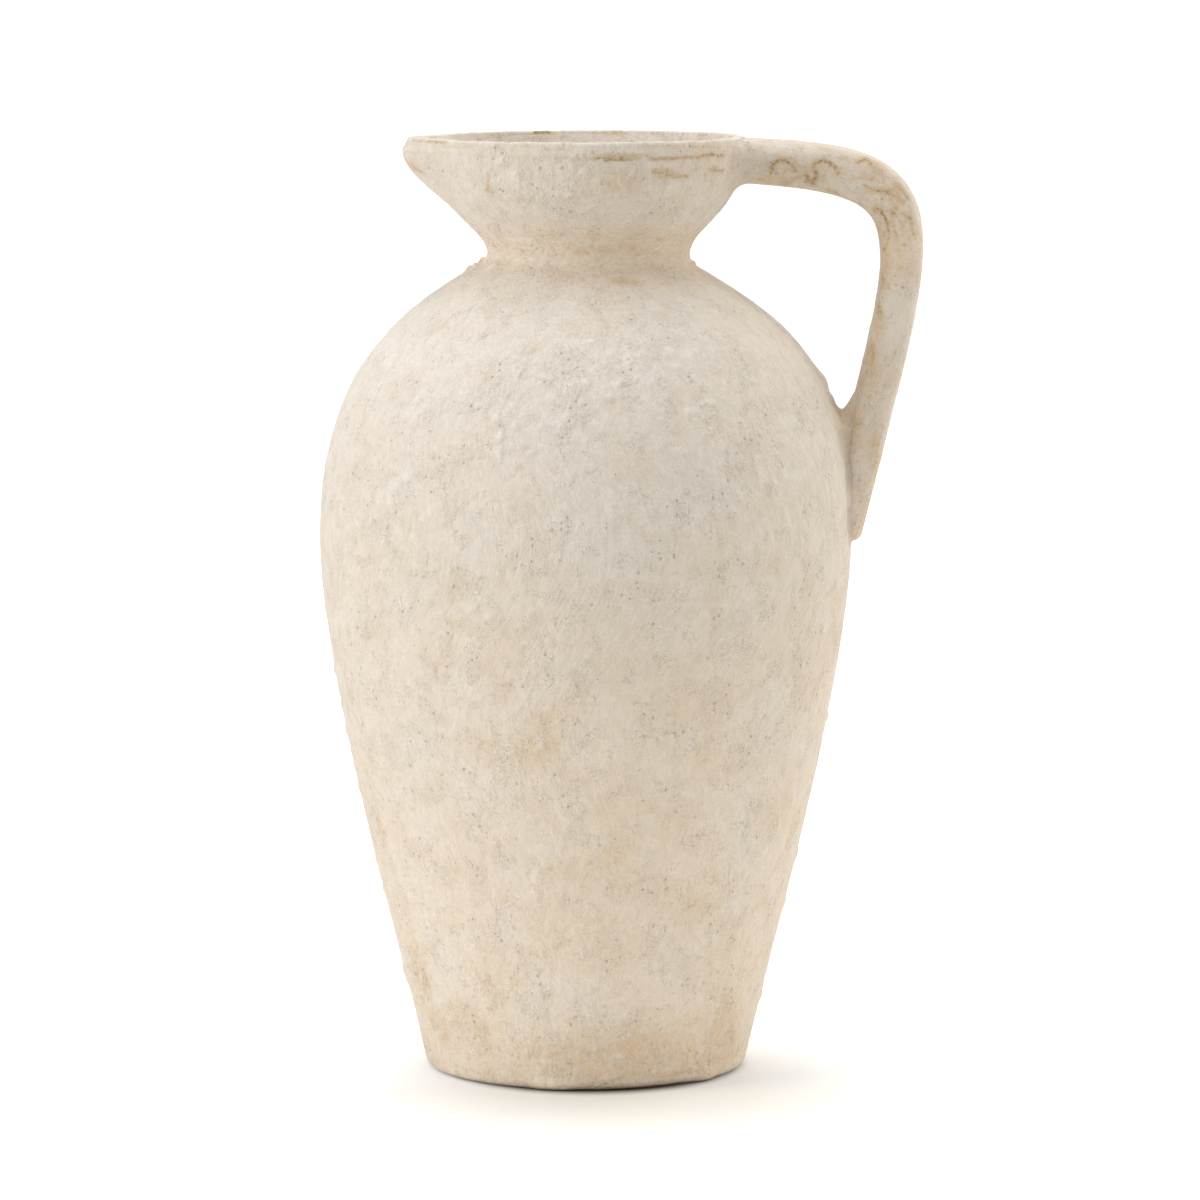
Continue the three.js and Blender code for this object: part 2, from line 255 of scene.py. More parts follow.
def lip_section():
    """From the seam on the outside over the lip's narrow crest, and down its slanting inside to the seam."""
    outer = radius_at(outside, rim_seam) + rim_proud
    turn = np.linspace(0, math.pi / 2, 9)[:, None]
    corner = np.concatenate([np.cos(turn), np.sin(turn)], axis=1)
    front = np.array([outer - rim_edge, rim_height - rim_edge]) + rim_edge * corner
    back_corner = np.concatenate([-np.sin(turn), np.cos(turn)], axis=1)
    back = np.array([outer - rim_crest, rim_height - rim_edge]) + rim_edge * back_corner
    start = [[radius_at(outside, rim_seam), rim_seam], [outer, rim_seam + 1.2]]
    return np.concatenate([start, front, back, [[radius_at(inside, rim_seam), rim_seam]]])


# One skin goes over the whole pot: from under the foot up the outside, over the lip and down the inside.
# Each stretch of it starts where the one before ends, and the pieces meet at those places.
def skin_stretches():
    under = np.array([[0.0, 0.0], [radius_at(outside, foot_round) - foot_round, 0]])
    return {
        "under": respaced(under, 8),
        "foot": respaced(np.concatenate([foot_arc(), stretch(outside, foot_round, floor_top)[1:]]), lip_step),
        "lower": respaced(stretch(outside, floor_top, belt_height), outside_step),
        "shoulder": respaced(stretch(outside, belt_height, neck_height), outside_step - 0.1),
        "collar": respaced(stretch(outside, neck_height, rim_seam), 1.1),
        "lip": respaced(lip_section(), lip_step),
        "mouth": respaced(stretch(inside, neck_height, rim_seam)[::-1], mouth_step),
        "inner_shoulder": respaced(stretch(inside, belt_height, neck_height)[::-1], inside_step),
        "inner_lower": respaced(stretch(inside, floor_top, belt_height)[::-1], inside_step),
        "floor": respaced(np.array([[radius_at(inside, floor_top), floor_top], [0.0, floor_top]]), 6),
    }


def shift_at(height):
    shoulder = swell(height, belly_height, neck_height - lean_drop, neck_height - lean_end)
    collar = swell(height, neck_height - lean_end, neck_height, rim_height)
    return shoulder_lean * shoulder + collar_shift * collar


def spout_at(height):
    out = ramp(rim_height - spout_foot, rim_height - spout_full, height)
    back = ramp(rim_height - spout_full, rim_height, height)
    return spout_reach * (out - spout_roll * back)


def hand_shaped(radius, height, azimuth):
    """Points of the pot for a turned radius and height at an azimuth, with its spout and its lean."""
    away = np.abs((azimuth % (2 * math.pi)) - math.pi) / spout_half_angle
    pinch = np.where(away < 1, np.cos(math.pi / 2 * np.minimum(away, 1)) ** 2, 0)
    least, most = radius_at(inside, height), radius_at(outside, height)
    depth = np.clip((radius - least) / (most - least), 0, 1)
    grown = radius + pinch * depth * spout_at(height)
    droop = ramp(rim_height - 45, rim_height, height) * rim_droop
    droop = droop * (0.5 + 0.5 * np.cos(azimuth - math.radians(135))) ** 2
    x = grown * np.cos(azimuth) + shift_at(height)
    return np.stack([x, grown * np.sin(azimuth), height - droop + 0 * x], axis=-1)


def at(azimuth, height):
    """The point of the plain outside at an azimuth in degrees and a height."""
    return hand_shaped(radius_at(outside, height), height, np.array(math.radians(azimuth)))


# The coat: how high it stands over the plain shape

# Patches where the coat is lumpy: azimuth, height and reach
lumpy_patches = [
    (-84, 352, 30), (-64, 340, 34), (-108, 322, 24), (-132, 272, 26), (-48, 300, 24), (-118, 232, 22),
    (-100, 182, 18), (-66, 182, 22), (-152, 55, 24), (-75, 24, 24), (-122, 437, 18), (-96, 440, 20),
    (-68, 439, 24), (40, 310, 40), (110, 250, 50), (160, 330, 40),
]

# Where it lies smooth
smooth_patches = [(180, 418, 26), (0, 418, 24), (-150, 412, 20)]

# Lone bits of coat and clay: azimuth, height, reach along the surface, reach up, how far it stands out
bits = [
    (180, 396.5, 2.2, 1.6, 1.9), (183, 394, 1.8, 1.5, 1.7), (177, 392.2, 2.4, 1.5, 1.6),
    (186, 398.4, 1.8, 1.2, 1.1), (-150, 395, 3.4, 1.8, 1), (0, 338, 6, 6, 1.7), (-3, 330, 5, 3.4, 1),
    (-178, 196, 1.8, 2.2, 0.9), (-178, 166, 1.8, 3.6, 0.9), (-178, 137, 1.8, 2.4, 0.7),
    (-178, 102, 1.6, 2.2, 0.6), (-178, 87, 1.6, 2.6, 0.7), (-178, 46, 2.6, 5, 1.1), (-172, 44, 3, 3, 1),
    (-2, 172.6, 1.8, 2.4, 0.8), (-2, 105.5, 2, 3.6, 0.9), (-2, 81, 1.8, 3, 0.8), (-2, 34, 1.8, 4, 0.8),
    (1, 395, 1.8, 1.4, 1.3), (-95, 341.7, 3.2, 2.4, 1), (-91, 345.5, 2.6, 2, 0.8),
    (-85, 338.6, 2.6, 1.8, 0.9), (-64, 367.5, 3.4, 1.6, 0.7), (-106, 359.8, 3, 1.6, 0.7),
    (-66, 331, 2.2, 1.4, 0.9), (-70, 327, 2.4, 1.5, 0.9), (-77, 343, 2.2, 1.7, 0.7),
    (-61, 335, 4.4, 1, 0.7), (-56, 337, 3.4, 1, 0.6), (-115, 397, 1.6, 1.2, 0.8),
]

# Lumps of coat at the edge of the foot, on which it stands: azimuth and reach along the edge
foot_lumps = [(-102, 8.5), (-41, 5), (25, 8), (150, 9), (75, 7)]
lump_proud = 2.2
foot_edge_high = 5  # how high up the foot's edge reaches
foot_edge_in = 0.4
foot_gap = 0.4  # the foot is this far clear of the ground between lumps
front_gap = 0.5  # and this much more on the right of the front
lip_line_deep = 0.45
lip_line_wide = 0.8


def round_patch(points, azimuth, height, reach, power):
    away = np.linalg.norm(points - at(azimuth, height), axis=-1)
    return np.exp(-((away / reach) ** power))


def patch(points, azimuth, height, wide, high):
    """1 at a place on the plain outside, and less the farther away points are, round the pot and up."""
    away = points - at(azimuth, height)
    flat = np.hypot(away[..., 0], away[..., 1]) / wide
    return np.exp(-(flat ** 2 + (away[..., 2] / high) ** 2))


def lumpiness(points):
    lumpy = 0.5 * ramp(-0.1, 0.5, noise(points, 48, 3))
    for place in lumpy_patches:
        lumpy = np.maximum(lumpy, round_patch(points, *place, 2))
    for place in smooth_patches:
        lumpy = lumpy * (1 - round_patch(points, *place, 4))
    return lumpy


def relief(points, stroke):
    """How high the coat stands, in two parts: its broad waves, and what catches light and dirt."""
    broad = 0.22 * noise(points, 80, 1) + 0.18 * noise(points, 26, 2)
    lumpy = lumpiness(points)
    crisp = lumpy * 0.85 * ramp(0.1, 0.75, noise(points, 5.6, 5))
    crisp += lumpy * 0.55 * ramp(0.15, 0.8, noise(points, 9.5, 6))
    crisp += lumpy * 0.30 * ramp(0.1, 0.7, noise(points, 3.6, 10))
    crisp += (0.4 + 0.6 * lumpy) * (0.20 * noise(points, 7.5, 7) + 0.11 * noise(points, 3.8, 8))
    crisp += 0.14 * noise(stroke, 4.4, 9)
    for *place, proud in bits:
        crisp += proud * patch(points, *place)
    return broad, crisp


ring_step = 7
ring_proud = 0.35


def throwing_rings(points):
    """Rings that fingers left on the inside, slowly climbing."""
    turns = points[..., 2] / ring_step + np.arctan2(points[..., 1], points[..., 0]) / (2 * math.pi)
    return ring_proud * np.sin(2 * math.pi * turns) + 0.3 * noise(points, 18, 12)


def stroke_place(points):
    """Places in which noise is drawn out along the brush: upright low down, slanting over the belly."""
    height = points[..., 2]
    slant = 0.62 * swell(height, 120, 225, 330)
    turned = slant * (height - 225) / belly_radius
    x = points[..., 0] * np.cos(turned) + points[..., 1] * np.sin(turned)
    y = points[..., 1] * np.cos(turned) - points[..., 0] * np.sin(turned)
    levels = np.linspace(-5, rim_height + 5, 200)
    level_round = swell(levels, 365, 400, 432)
    drawn = np.interp(height, levels, np.cumsum(0.16 + 0.7 * level_round) * (levels[1] - levels[0]))
    narrowed = 1 - 0.75 * np.interp(height, levels, level_round)
    return np.stack([x * narrowed, y * narrowed, drawn], axis=-1)


def normals_of(grid, wraps=True):
    """Outward normals of a grid of points whose rows go along the section and whose columns go round."""
    if wraps:
        round_it = np.roll(grid, -1, axis=1) - np.roll(grid, 1, axis=1)
    else:
        round_it = np.gradient(grid, axis=1)
    return unit(np.cross(round_it, np.gradient(grid, axis=0)))


# Stains of the coat: azimuth, height, reach round the pot, reach up, strength
ochre_stains = [
    (-116, 250, 10, 7, 0.55), (-119.5, 230.5, 5, 4, 0.6), (-112, 210, 9, 6, 0.55),
    (-108.5, 201, 9, 8, 0.7), (-102, 174, 14, 13, 0.7), (-114, 169, 9, 7, 0.55),
    (-101, 186, 10, 8, 0.5), (-84.4, 250, 6, 6, 0.35), (-70.8, 194, 15, 13, 0.4),
    (-62, 166, 10, 9, 0.45), (-62, 257, 8, 4, 0.35), (-35, 219, 5, 10, 0.3), (-154, 58, 13, 30, 0.75),
    (-150, 48, 7, 7, 0.9), (-148, 28, 8, 9, 0.8), (-132, 34, 16, 12, 0.45), (-38, 25, 13, 20, 0.85),
    (-60, 18, 14, 10, 0.6), (-73, 22, 16, 12, 0.7), (-98, 20, 26, 9, 0.4), (-118, 60, 16, 8, 0.4),
    (-60, 90, 22, 16, 0.35), (-93, 108, 15, 12, 0.3), (-113, 90, 18, 12, 0.35), (-80, 120, 12, 10, 0.3),
    (-160, 120, 10, 30, 0.35), (-170, 443, 10, 6, 0.7), (-178, 434, 6, 4, 0.6),
    (-129, 433.6, 4.5, 7, 0.75), (-118.5, 430, 7, 4, 0.55), (-75, 437, 14, 9, 0.85),
    (-84, 430, 24, 12, 0.4), (-60, 442, 9, 4, 0.8), (-40, 440, 10, 8, 0.5), (-92, 432, 10, 5, 0.4),
    (-73, 389.7, 9, 2.5, 0.95), (-78, 404.5, 24, 3, 0.5), (-70, 412, 22, 5, 0.35),
    (-90, 392, 26, 4, 0.4), (-106, 360, 5, 3, 0.8), (-95, 342, 4, 3, 0.55), (-85, 338, 4, 3, 0.6),
    (-150, 300, 10, 8, 0.3), (-132, 268, 14, 10, 0.25), (-5, 350, 7, 12, 0.5), (-20, 240, 6, 40, 0.3),
    (20, 60, 26, 30, 0.6), (70, 120, 30, 30, 0.5), (120, 40, 30, 18, 0.8), (95, 300, 26, 30, 0.4),
    (150, 210, 26, 34, 0.45),
]
grey_veils = [
    (-84, 268, 30, 36, 0.8), (-65, 292, 24, 16, 0.8), (-72, 242, 24, 20, 0.7), (-134, 170, 12, 22, 0.5),
    (-90, 330, 34, 26, 0.5), (-60, 372, 26, 10, 0.6), (-112, 84, 8, 16, 0.8), (-60, 60, 16, 20, 0.6),
    (-84, 36, 20, 10, 0.6), (-44, 130, 10, 40, 0.5), (60, 240, 36, 40, 0.7), (140, 300, 36, 40, 0.6),
]

# Brown worn marks of the lip, the neck and the foot, in the same way
worn_marks = [
    (-76, 451, 20, 1.6, 0.65), (-60, 443.2, 9, 2.4, 0.55), (-45, 449.2, 9, 1.8, 0.6),
    (-35, 443.4, 5, 1.8, 0.6), (-73, 389.7, 7, 1.4, 0.45), (-176, 440, 5, 3, 0.45),
    (-168, 446, 3, 2, 0.4), (-112, 455.5, 8, 2, 0.4), (78, 456, 8, 3, 0.8), (-128, 433, 1.6, 1.6, 0.5),
    (-58, 6, 12, 3, 0.5), (-106, 360, 4, 1.8, 0.4), (-150, 46, 5, 3, 0.45), (-178, 46, 3, 5, 0.5),
    (-178, 166, 2, 5, 0.5), (-178, 196, 2, 4, 0.5), (0, 395, 3, 3, 0.6), (180, 394, 5, 4, 0.6),
    (0, 338, 3, 8, 0.5),
]


# Thin worn lines on the outside: strength, half width, and the azimuths and heights that each runs through
pot_line_places = [
    (0.4, 0.8, [(-101, 449.8), (-93.7, 449.7), (-84.7, 449.7), (-77.5, 449.5)]),
    (0.7, 0.8, [(-88, 449.7), (-84.7, 449.7), (-77.5, 449.5), (-70, 449.4)]),
    (0.75, 0.8, [(-66, 449.5), (-62.2, 449.5), (-53.7, 449.5), (-48, 449.6)]),
    (0.8, 1.1, [(-44, 449.9), (-38, 450.4), (-33.4, 449.4), (-29, 449.2)]),
    (0.55, 1, [(-70.8, 455.4), (-64.2, 455.2), (-56.8, 455.2), (-52.4, 455.3)]),
    (0.6, 1, [(-48, 454.3), (-41.4, 453.9)]),
    (0.75, 0.9, [(-63.6, 442.8), (-60.3, 441.5), (-55.9, 440.4), (-49.9, 440.4)]),
    (0.7, 0.9, [(-37.9, 442.9), (-33, 442), (-28, 441.9)]),
    (0.8, 1, [(178, 456), (-170, 455.7), (-160, 455.6), (-150, 455.8)]),
    (0.5, 0.9, [(-144, 455.8), (-136, 455.4), (-130, 455)]),
    (0.6, 1.2, [(-178, 452), (-176, 447), (-172, 443), (-165, 440)]),
    (0.45, 1, [(-128, 441.5), (-129, 437), (-131, 433)]),
    (0.55, 1.1, [(-76, 390.6), (-72, 389.6), (-68, 388.4)]),
    (0.35, 0.8, [(-96, 403), (-90, 403.5)]),
]

# In the same way, lines on the slanting inside of the lip's far side: millimetres round the lip, and heights
far_lip_lines = [
    (0.55, 0.6, [(186, 453.8), (175, 454.6), (163, 455.3), (150, 455.6), (138, 456)]),
    (1, 1.3, [(148, 456.3), (140, 456.4)]),
    (0.45, 0.9, [(130, 456), (118, 455.6), (108, 455.6)]),
    (0.5, 1, [(84, 455.2), (76, 455)]),
]


def line_marks(place, listed, widen=1.0):
    """The strength of thin marks that run through listed places, at an array of places."""
    total = np.zeros(place.shape[:-1])
    for strength, wide, path in listed:
        nearest = np.full(total.shape, np.inf)
        for start, end in zip(np.array(path), np.array(path)[1:]):
            along = end - start
            share = np.clip(((place - start) * along).sum(-1) / (along @ along), 0, 1)
            nearest = np.minimum(nearest, np.linalg.norm(place - start - share[..., None] * along, axis=-1))
        total = np.maximum(total, strength * np.exp(-((nearest / (wide * widen)) ** 2)))
    return total


pot_lines = [(strength, wide, [at(*place) for place in path]) for strength, wide, path in pot_line_places]


def patches(points, listed):
    total = np.zeros(points.shape[:-1])
    for *place, strength in listed:
        total = np.maximum(total, strength * patch(points, *place))
    return total


# Painted light and shade with height: how much paler or darker the coat's colour is made at each height
painted_light_heights = [0, 40, 75, 110, 180, 250, 330, 385, 404, 422, 445, 460]
painted_light_factors = [1.12, 1.11, 1.09, 1.06, 1.02, 0.99, 0.975, 1.0, 1.08, 0.98, 0.95, 0.97]


def within(points):
    """1 on the inside of the pot, and 0 on its outside and on the strap."""
    radius = np.hypot(points[..., 0] - shift_at(points[..., 2]), points[..., 1])
    return ramp(3, 6, radius_at(outside, points[..., 2]) - radius)


# Painted light and shade by height, with the inside of the pot painted a tenth darker as painted shade
def painted_light_and_shade(points):
    return np.interp(points[..., 2], painted_light_heights, painted_light_factors) * (1 - 0.10 * within(points))


def coat_layers(points, crisp, wear):
    """What the material reads: ochre stain, grey veil, brown wear, and how high the coat stands here, which
    puts ochre dirt in hollows and paints crests paler as a painted highlight.
    """
    drift = layered(points, 26, 3, 20)
    height = points[..., 2]
    low_down = 0.50 * (1 - ramp(0, 60, height)) + 0.15 * (1 - ramp(60, 260, height))
    at_neck = 0.50 * swell(height, 375, 402, 425)
    ochre = patches(points, ochre_stains) + 0.34 * ramp(0.05, 0.55, drift) + low_down + at_neck
    # The inside is made more ochre, partly as painted shade inside the pot
    ochre = ochre + 0.25 * within(points)
    high_up = 0.75 * ramp(200, 350, height) * (1 - 0.8 * swell(height, 378, 402, 425))
    high_up = high_up * (1 - 0.45 * ramp(415, 432, height))
    veil = patches(points, grey_veils) + 0.4 * ramp(0.0, 0.5, layered(points, 40, 2, 30)) + high_up
    hollow_dirt_and_crest_highlight = np.clip(0.5 + crisp * 0.6, 0, 1)
    return np.stack([np.clip(ochre, 0, 1), np.clip(veil, 0, 1), np.clip(wear, 0, 1), hollow_dirt_and_crest_highlight], axis=-1)


# Materials

class Value:
    """One output of a node, which can be multiplied and added to."""

    def __init__(self, nodes, socket):
        self.nodes = nodes
        self.socket = socket

    def __mul__(self, other):
        return self.nodes.math("MULTIPLY", self, other)

    def __add__(self, other):
        return self.nodes.math("ADD", self, other)

    def also(self, output):
        """Another output of the same node."""
        return Value(self.nodes, self.socket.node.outputs[output])


class Nodes:
    """Short names for the nodes of one material."""

    def __init__(self, material):
        material.use_nodes = True
        self.tree = material.node_tree
        self.tree.nodes.clear()

    def add(self, kind, inputs=None, output=0, **settings):
        node = self.tree.nodes.new(kind)
        for key, value in settings.items():
            setattr(node, key, value)
        for key, value in (inputs or {}).items():
            if isinstance(value, Value):
                self.tree.links.new(value.socket, node.inputs[key])
            else:
                node.inputs[key].default_value = value
        return Value(self, node.outputs[output]) if len(node.outputs) else None

    def math(self, operation, *values):
        return self.add("ShaderNodeMath", dict(enumerate(values)), operation=operation)

    def vector(self, operation, *values, output="Vector"):
        return self.add("ShaderNodeVectorMath", dict(enumerate(values)), output, operation=operation)

    def scaled(self, vector, by):
        return self.vector("MULTIPLY", vector, by)

    def length(self, vector):
        return self.vector("LENGTH", vector, output="Value")

    def noise(self, vector, size, detail=3.0, rough=0.55, warp=0.0):
        """Noise from 0 to 1 whose largest features are about size long, in the vector's own unit."""
        inputs = {"Vector": vector, "Scale": 1 / size, "Detail": detail}
        inputs |= {"Roughness": rough, "Distortion": warp}
        return self.add("ShaderNodeTexNoise", inputs, noise_dimensions="3D", normalize=True)

    def ramp(self, value, low, high, to_low=0.0, to_high=1.0):
        inputs = {"Value": value, "From Min": low, "From Max": high, "To Min": to_low, "To Max": to_high}
        return self.add("ShaderNodeMapRange", inputs, interpolation_type="SMOOTHSTEP")

    def specks(self, vector, size, radius, share, seed):
        """1 inside round specks of a radius, at a share of the cells of a size, and 0 elsewhere."""
        moved = self.vector("ADD", vector, (seed, seed, seed))
        distance = self.add("ShaderNodeTexVoronoi", {"Vector": moved, "Scale": 1 / size}, "Distance")
        chance = self.add("ShaderNodeSeparateColor", {"Color": distance.also("Color")})
        near = self.ramp(distance, radius / size, radius / size * 0.4)
        return near * self.math("LESS_THAN", chance, share)

    def mix(self, share, first, second):
        colors = [color if isinstance(color, Value) else (*color, 1) for color in (first, second)]
        return self.add("ShaderNodeMix", {0: share, 6: colors[0], 7: colors[1]}, 2, data_type="RGBA")

    def tint(self, color, factor):
        return self.add("ShaderNodeVectorMath", {0: color, "Scale": factor}, operation="SCALE")

    def clay(self, color, roughness, shine, lift, strength):
        """The surface of a clay with this colour, whose grain stands up by lift, in millimetres."""
        bump = self.add("ShaderNodeBump", {"Strength": strength, "Distance": METRE, "Height": lift})
        inputs = {"Base Color": color, "Roughness": roughness, "Specular IOR Level": shine, "Normal": bump}
        shader = self.add("ShaderNodeBsdfPrincipled", inputs)
        self.add("ShaderNodeOutputMaterial", {"Surface": shader})


cream = (0.765, 0.680, 0.580)
warm_cream = (0.725, 0.620, 0.500)
grey_white = (0.745, 0.700, 0.640)
pale = (0.835, 0.775, 0.690)
ochre = (0.590, 0.430, 0.255)
brown = (0.330, 0.190, 0.085)
pit_brown = (0.190, 0.105, 0.050)
red_clay = (0.560, 0.330, 0.190)
dusty_clay = (0.66, 0.47, 0.33)
in_millimetres = (1 / METRE, 1 / METRE, 1 / METRE)


def limewash_material():
    """Chalky cream coat over terracotta, with brush marks, stains, worn edges, crumbs and pinholes, painted
    highlights on crests and chips, and painted light and shade by height.
    """
    material = bpy.data.materials.new("limewashed_clay")
    n = Nodes(material)
    place = n.scaled(n.add("ShaderNodeTexCoord", output="Object"), in_millimetres)
    coat = n.add("ShaderNodeAttribute", attribute_name="coat")
    height = coat.also("Alpha")
    stained = n.add("ShaderNodeSeparateColor", {"Color": coat})
    veiled, worn = stained.also(1), stained.also(2)
    stroke = n.add("ShaderNodeAttribute", output="Vector", attribute_name="stroke")
    painted_light_scale = n.add("ShaderNodeAttribute", output="Fac", attribute_name="painted_light_and_shade")

    clouds = n.noise(place, 24, 3, 0.55, 0.6)
    mottle = n.noise(place, 6, 5, 0.62, 0.3)
    broken = n.noise(place, 2.6, 5, 0.7, 0.5)
    stipple = n.noise(place, 1.3, 3, 0.6)
    streaks = n.noise(stroke, 1.5, 4, 0.62, 0.3)
    cluster = n.ramp(n.noise(place, 19, 2, 0.5), 0.47, 0.62)

    color = n.mix(n.ramp(clouds, 0.38, 0.70) * 0.65, cream, warm_cream)
    veil = veiled * n.ramp(streaks * 0.35 + mottle, 0.35, 0.85)
    color = n.mix(veil * 0.95, color, grey_white)
    soaked = n.ramp(broken * 0.7 + (stained * 0.2 + mottle), 0.66, 1.26) * stained
    color = n.mix(soaked * 0.70, color, ochre)
    freckles = n.ramp(broken, 0.54, 0.68) * (stained * 0.75 + 0.16)
    color = n.mix(freckles, color, ochre)
    flecks = (cluster * 0.48 + 0.14) * (veiled * -1.1 + 1.3)
    color = n.mix(n.ramp(stipple, 0.58, 0.72) * flecks, color, ochre)
    # Ochre dirt in the coat's hollows, and crests painted paler: a painted highlight
    color = n.mix(n.ramp(height, 0.50, 0.30, 0.0, 0.20), color, ochre)
    color = n.mix(n.ramp(height, 0.60, 0.95, 0.0, 0.45), color, pale)

    # Chips of the coat: painted pale, partly as highlight, with ochre beside them, partly as painted shadow
    chip_noise = n.noise(place, 2.1, 3, 0.65, 0.5)
    chipped = n.ramp(n.noise(place, 9, 2, 0.5), 0.53, 0.62)
    pale_chips_and_highlight = n.ramp(chip_noise, 0.56, 0.62) * chipped
    ochre_and_shadow_beside_chips = n.ramp(chip_noise, 0.44, 0.32) * chipped
    color = n.mix(ochre_and_shadow_beside_chips * 0.56, color, ochre)
    color = n.mix(pale_chips_and_highlight * 0.75, color, pale)

    crackle = n.noise(place, 1.7, 4, 0.7, 0.5)
    rubbed = n.ramp(crackle * 1.3 + worn * 0.50, 0.90, 1.25) * n.ramp(worn, 0.10, 0.40)
    color = n.mix(n.ramp(worn, 0.10, 0.8) * 0.60, color, ochre)
    color = n.mix(rubbed * 0.85, color, brown)

    pin = n.specks(place, 8.5, 0.45, 0.055, 3.0)
    fine_pin = n.specks(place, 4.5, 0.30, 0.055, 11.0)
    color = n.mix(pin * 0.65, color, pit_brown)
    color = n.mix(fine_pin * 0.50, color, brown)

    # Painted light and shade: the coat's colour scaled by height and darkened inside the pot
    color = n.tint(color, painted_light_scale)
    color = n.tint(color, n.ramp(streaks, 0.30, 0.70, 0.955, 1.035))
    color = n.tint(color, n.ramp(mottle, 0.30, 0.70, 0.960, 1.035))
    color = n.tint(color, n.ramp(stipple, 0.25, 0.75, 0.960, 1.035))

    crumbs = n.specks(place, 3.6, 0.8, 0.5, 23.0) * (cluster * 0.65 + 0.10)
    lift = n.noise(place, 3.2, 4, 0.6) * 0.72 + n.noise(stroke, 1.4, 3, 0.6) * 0.36 + stipple * 0.42
    lift = lift * (cluster * 0.65 + 0.60) + crumbs + pale_chips_and_highlight * 0.26
    lift = lift + pin * -0.27 + fine_pin * -0.13 + rubbed * -0.12
    n.clay(color, n.ramp(mottle, 0.3, 0.7, 0.86, 0.96), 0.22, lift, 1.0)
    return material


def bare_clay_material():
    material = bpy.data.materials.new("bare_clay")
    n = Nodes(material)
    place = n.scaled(n.add("ShaderNodeTexCoord", output="Object"), in_millimetres)
    grain = n.noise(place, 1.1, 3, 0.6)
    color = n.mix(n.ramp(n.noise(place, 12, 4, 0.6), 0.35, 0.65), red_clay, dusty_clay)
    color = n.tint(color, n.ramp(grain, 0.25, 0.75, 0.93, 1.05))
    n.clay(color, 0.93, 0.2, grain * 0.4, 0.7)
    return material


# Each clay's material, with a name beside it that nothing reads
limewash = limewash_material(), "limewashed_clay"
bare = bare_clay_material(), "bare_clay"


# Meshes

def placed(name, data):
    thing = bpy.data.objects.new(name, data)
    bpy.context.scene.collection.objects.link(thing)
    return thing


def point_rows(points, normals, layers, strokes):
    """A row for each point: its place, its normal, the coat's layers and its place in the brush's strokes."""
    return np.concatenate([points, normals, layers, strokes], axis=-1)


row_parts = (3, 6, 10)  # where normal, layers and strokes start in such a row
row_length = 13


def make_piece(name, node, rows, faces, clay):
    material, slot = clay
    points, normals, layers, strokes = np.split(rows.reshape(-1, row_length), row_parts, axis=1)
    mesh = bpy.data.meshes.new(name)
    mesh.from_pydata((points * METRE).tolist(), [], faces)
    mesh.materials.append(material)
    mesh.shade_smooth()
    for layer, kind, field, values in (
        ("coat", "FLOAT_COLOR", "color", layers),
        ("stroke", "FLOAT_VECTOR", "vector", strokes),
        ("painted_light_and_shade", "FLOAT", "value", painted_light_and_shade(points)),
    ):
        attribute = mesh.attributes.new(layer, kind, "POINT")
        attribute.data.foreach_set(field, values.astype(np.float32).ravel())
    mesh.normals_split_custom_set_from_vertices(normals.tolist())
    piece = placed(name, mesh)
    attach(piece, "root")
    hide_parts(node)


def grid_faces(rows, columns, closed):
    """Quads between neighbouring rings of points, and between the last ring and the first if closed."""
    row = np.arange(rows if closed else rows - 1)[:, None]
    column = np.arange(columns)[None, :]
    here, above = row * columns, ((row + 1) % rows) * columns
    after = (column + 1) % columns
    quads = np.stack([here + column, here + after, above + after, above + column], axis=-1)
    return quads.reshape(-1, 4).tolist()


def fan(ring, pole, outwards):
    """Triangles from a ring of point numbers to one point."""
    pairs = zip(ring, np.roll(ring, -1))
    return [(int(a), int(b), pole) if outwards else (int(b), int(a), pole) for a, b in pairs]


# The pot's skin

azimuths = np.linspace(0, 2 * math.pi, around, endpoint=False)
stretches = skin_stretches()
first_row = {}
section = []
for stretch_name, line in stretches.items():
    first_row[stretch_name] = max(len(section) - 1, 0)
    section.extend(line.tolist() if not section else line[1:].tolist())
section = np.array(section)
last_row = {s: first_row[s] + len(line) - 1 for s, line in stretches.items()}

plain = hand_shaped(section[:, :1], section[:, 1:], azimuths[None, :])
plain_normals = normals_of(plain)
skin_stroke = stroke_place(plain)
broad, crisp = relief(plain, skin_stroke)
row_number = np.arange(len(section))[:, None]
inner_share = ramp(last_row["lip"] - 12, last_row["lip"] + 6, row_number.astype(float))
under_share = 1 - ramp(first_row["foot"] + 1.0, first_row["foot"] + 8.0, row_number.astype(float))
depth_down = section[:, 1:] + 0 * plain[..., 0]

# The lip's lower edge: a worn line on the right of the front, broken up, and hardly there to the left
degrees_round = (np.degrees(azimuths)[None, :] + 180) % 360 - 180
line_strength = 0.12 + 0.88 * swell(degrees_round, -102, -76, -20)
line_wander = rim_seam - 1.2 + 0.5 * noise(plain, 22, 44)
seam_groove = np.exp(-(((plain[..., 2] - line_wander) / lip_line_wide) ** 2))
seam_groove = seam_groove * (row_number <= first_row["lip"] + 6)
groove = seam_groove * line_strength * ramp(-0.55, 0.15, noise(plain, 9, 40))

# The foot stands on its lumps, and is a little clear of the ground between them
lump = np.zeros(plain.shape[:2])
for azimuth, reach in foot_lumps:
    gap = (degrees_round - azimuth + 180) % 360 - 180
    lump = np.maximum(lump, np.exp(-((gap / reach) ** 4)))
foot_edge = np.exp(-((section[:, 1:] / foot_edge_high) ** 2)) * (row_number <= last_row["lower"])
foot_edge = foot_edge * ramp(foot_radius - 26.5, foot_radius - 8.5, section[:, :1])
clear_of_ground = foot_gap + front_gap * swell(degrees_round, -88, -54, -44)

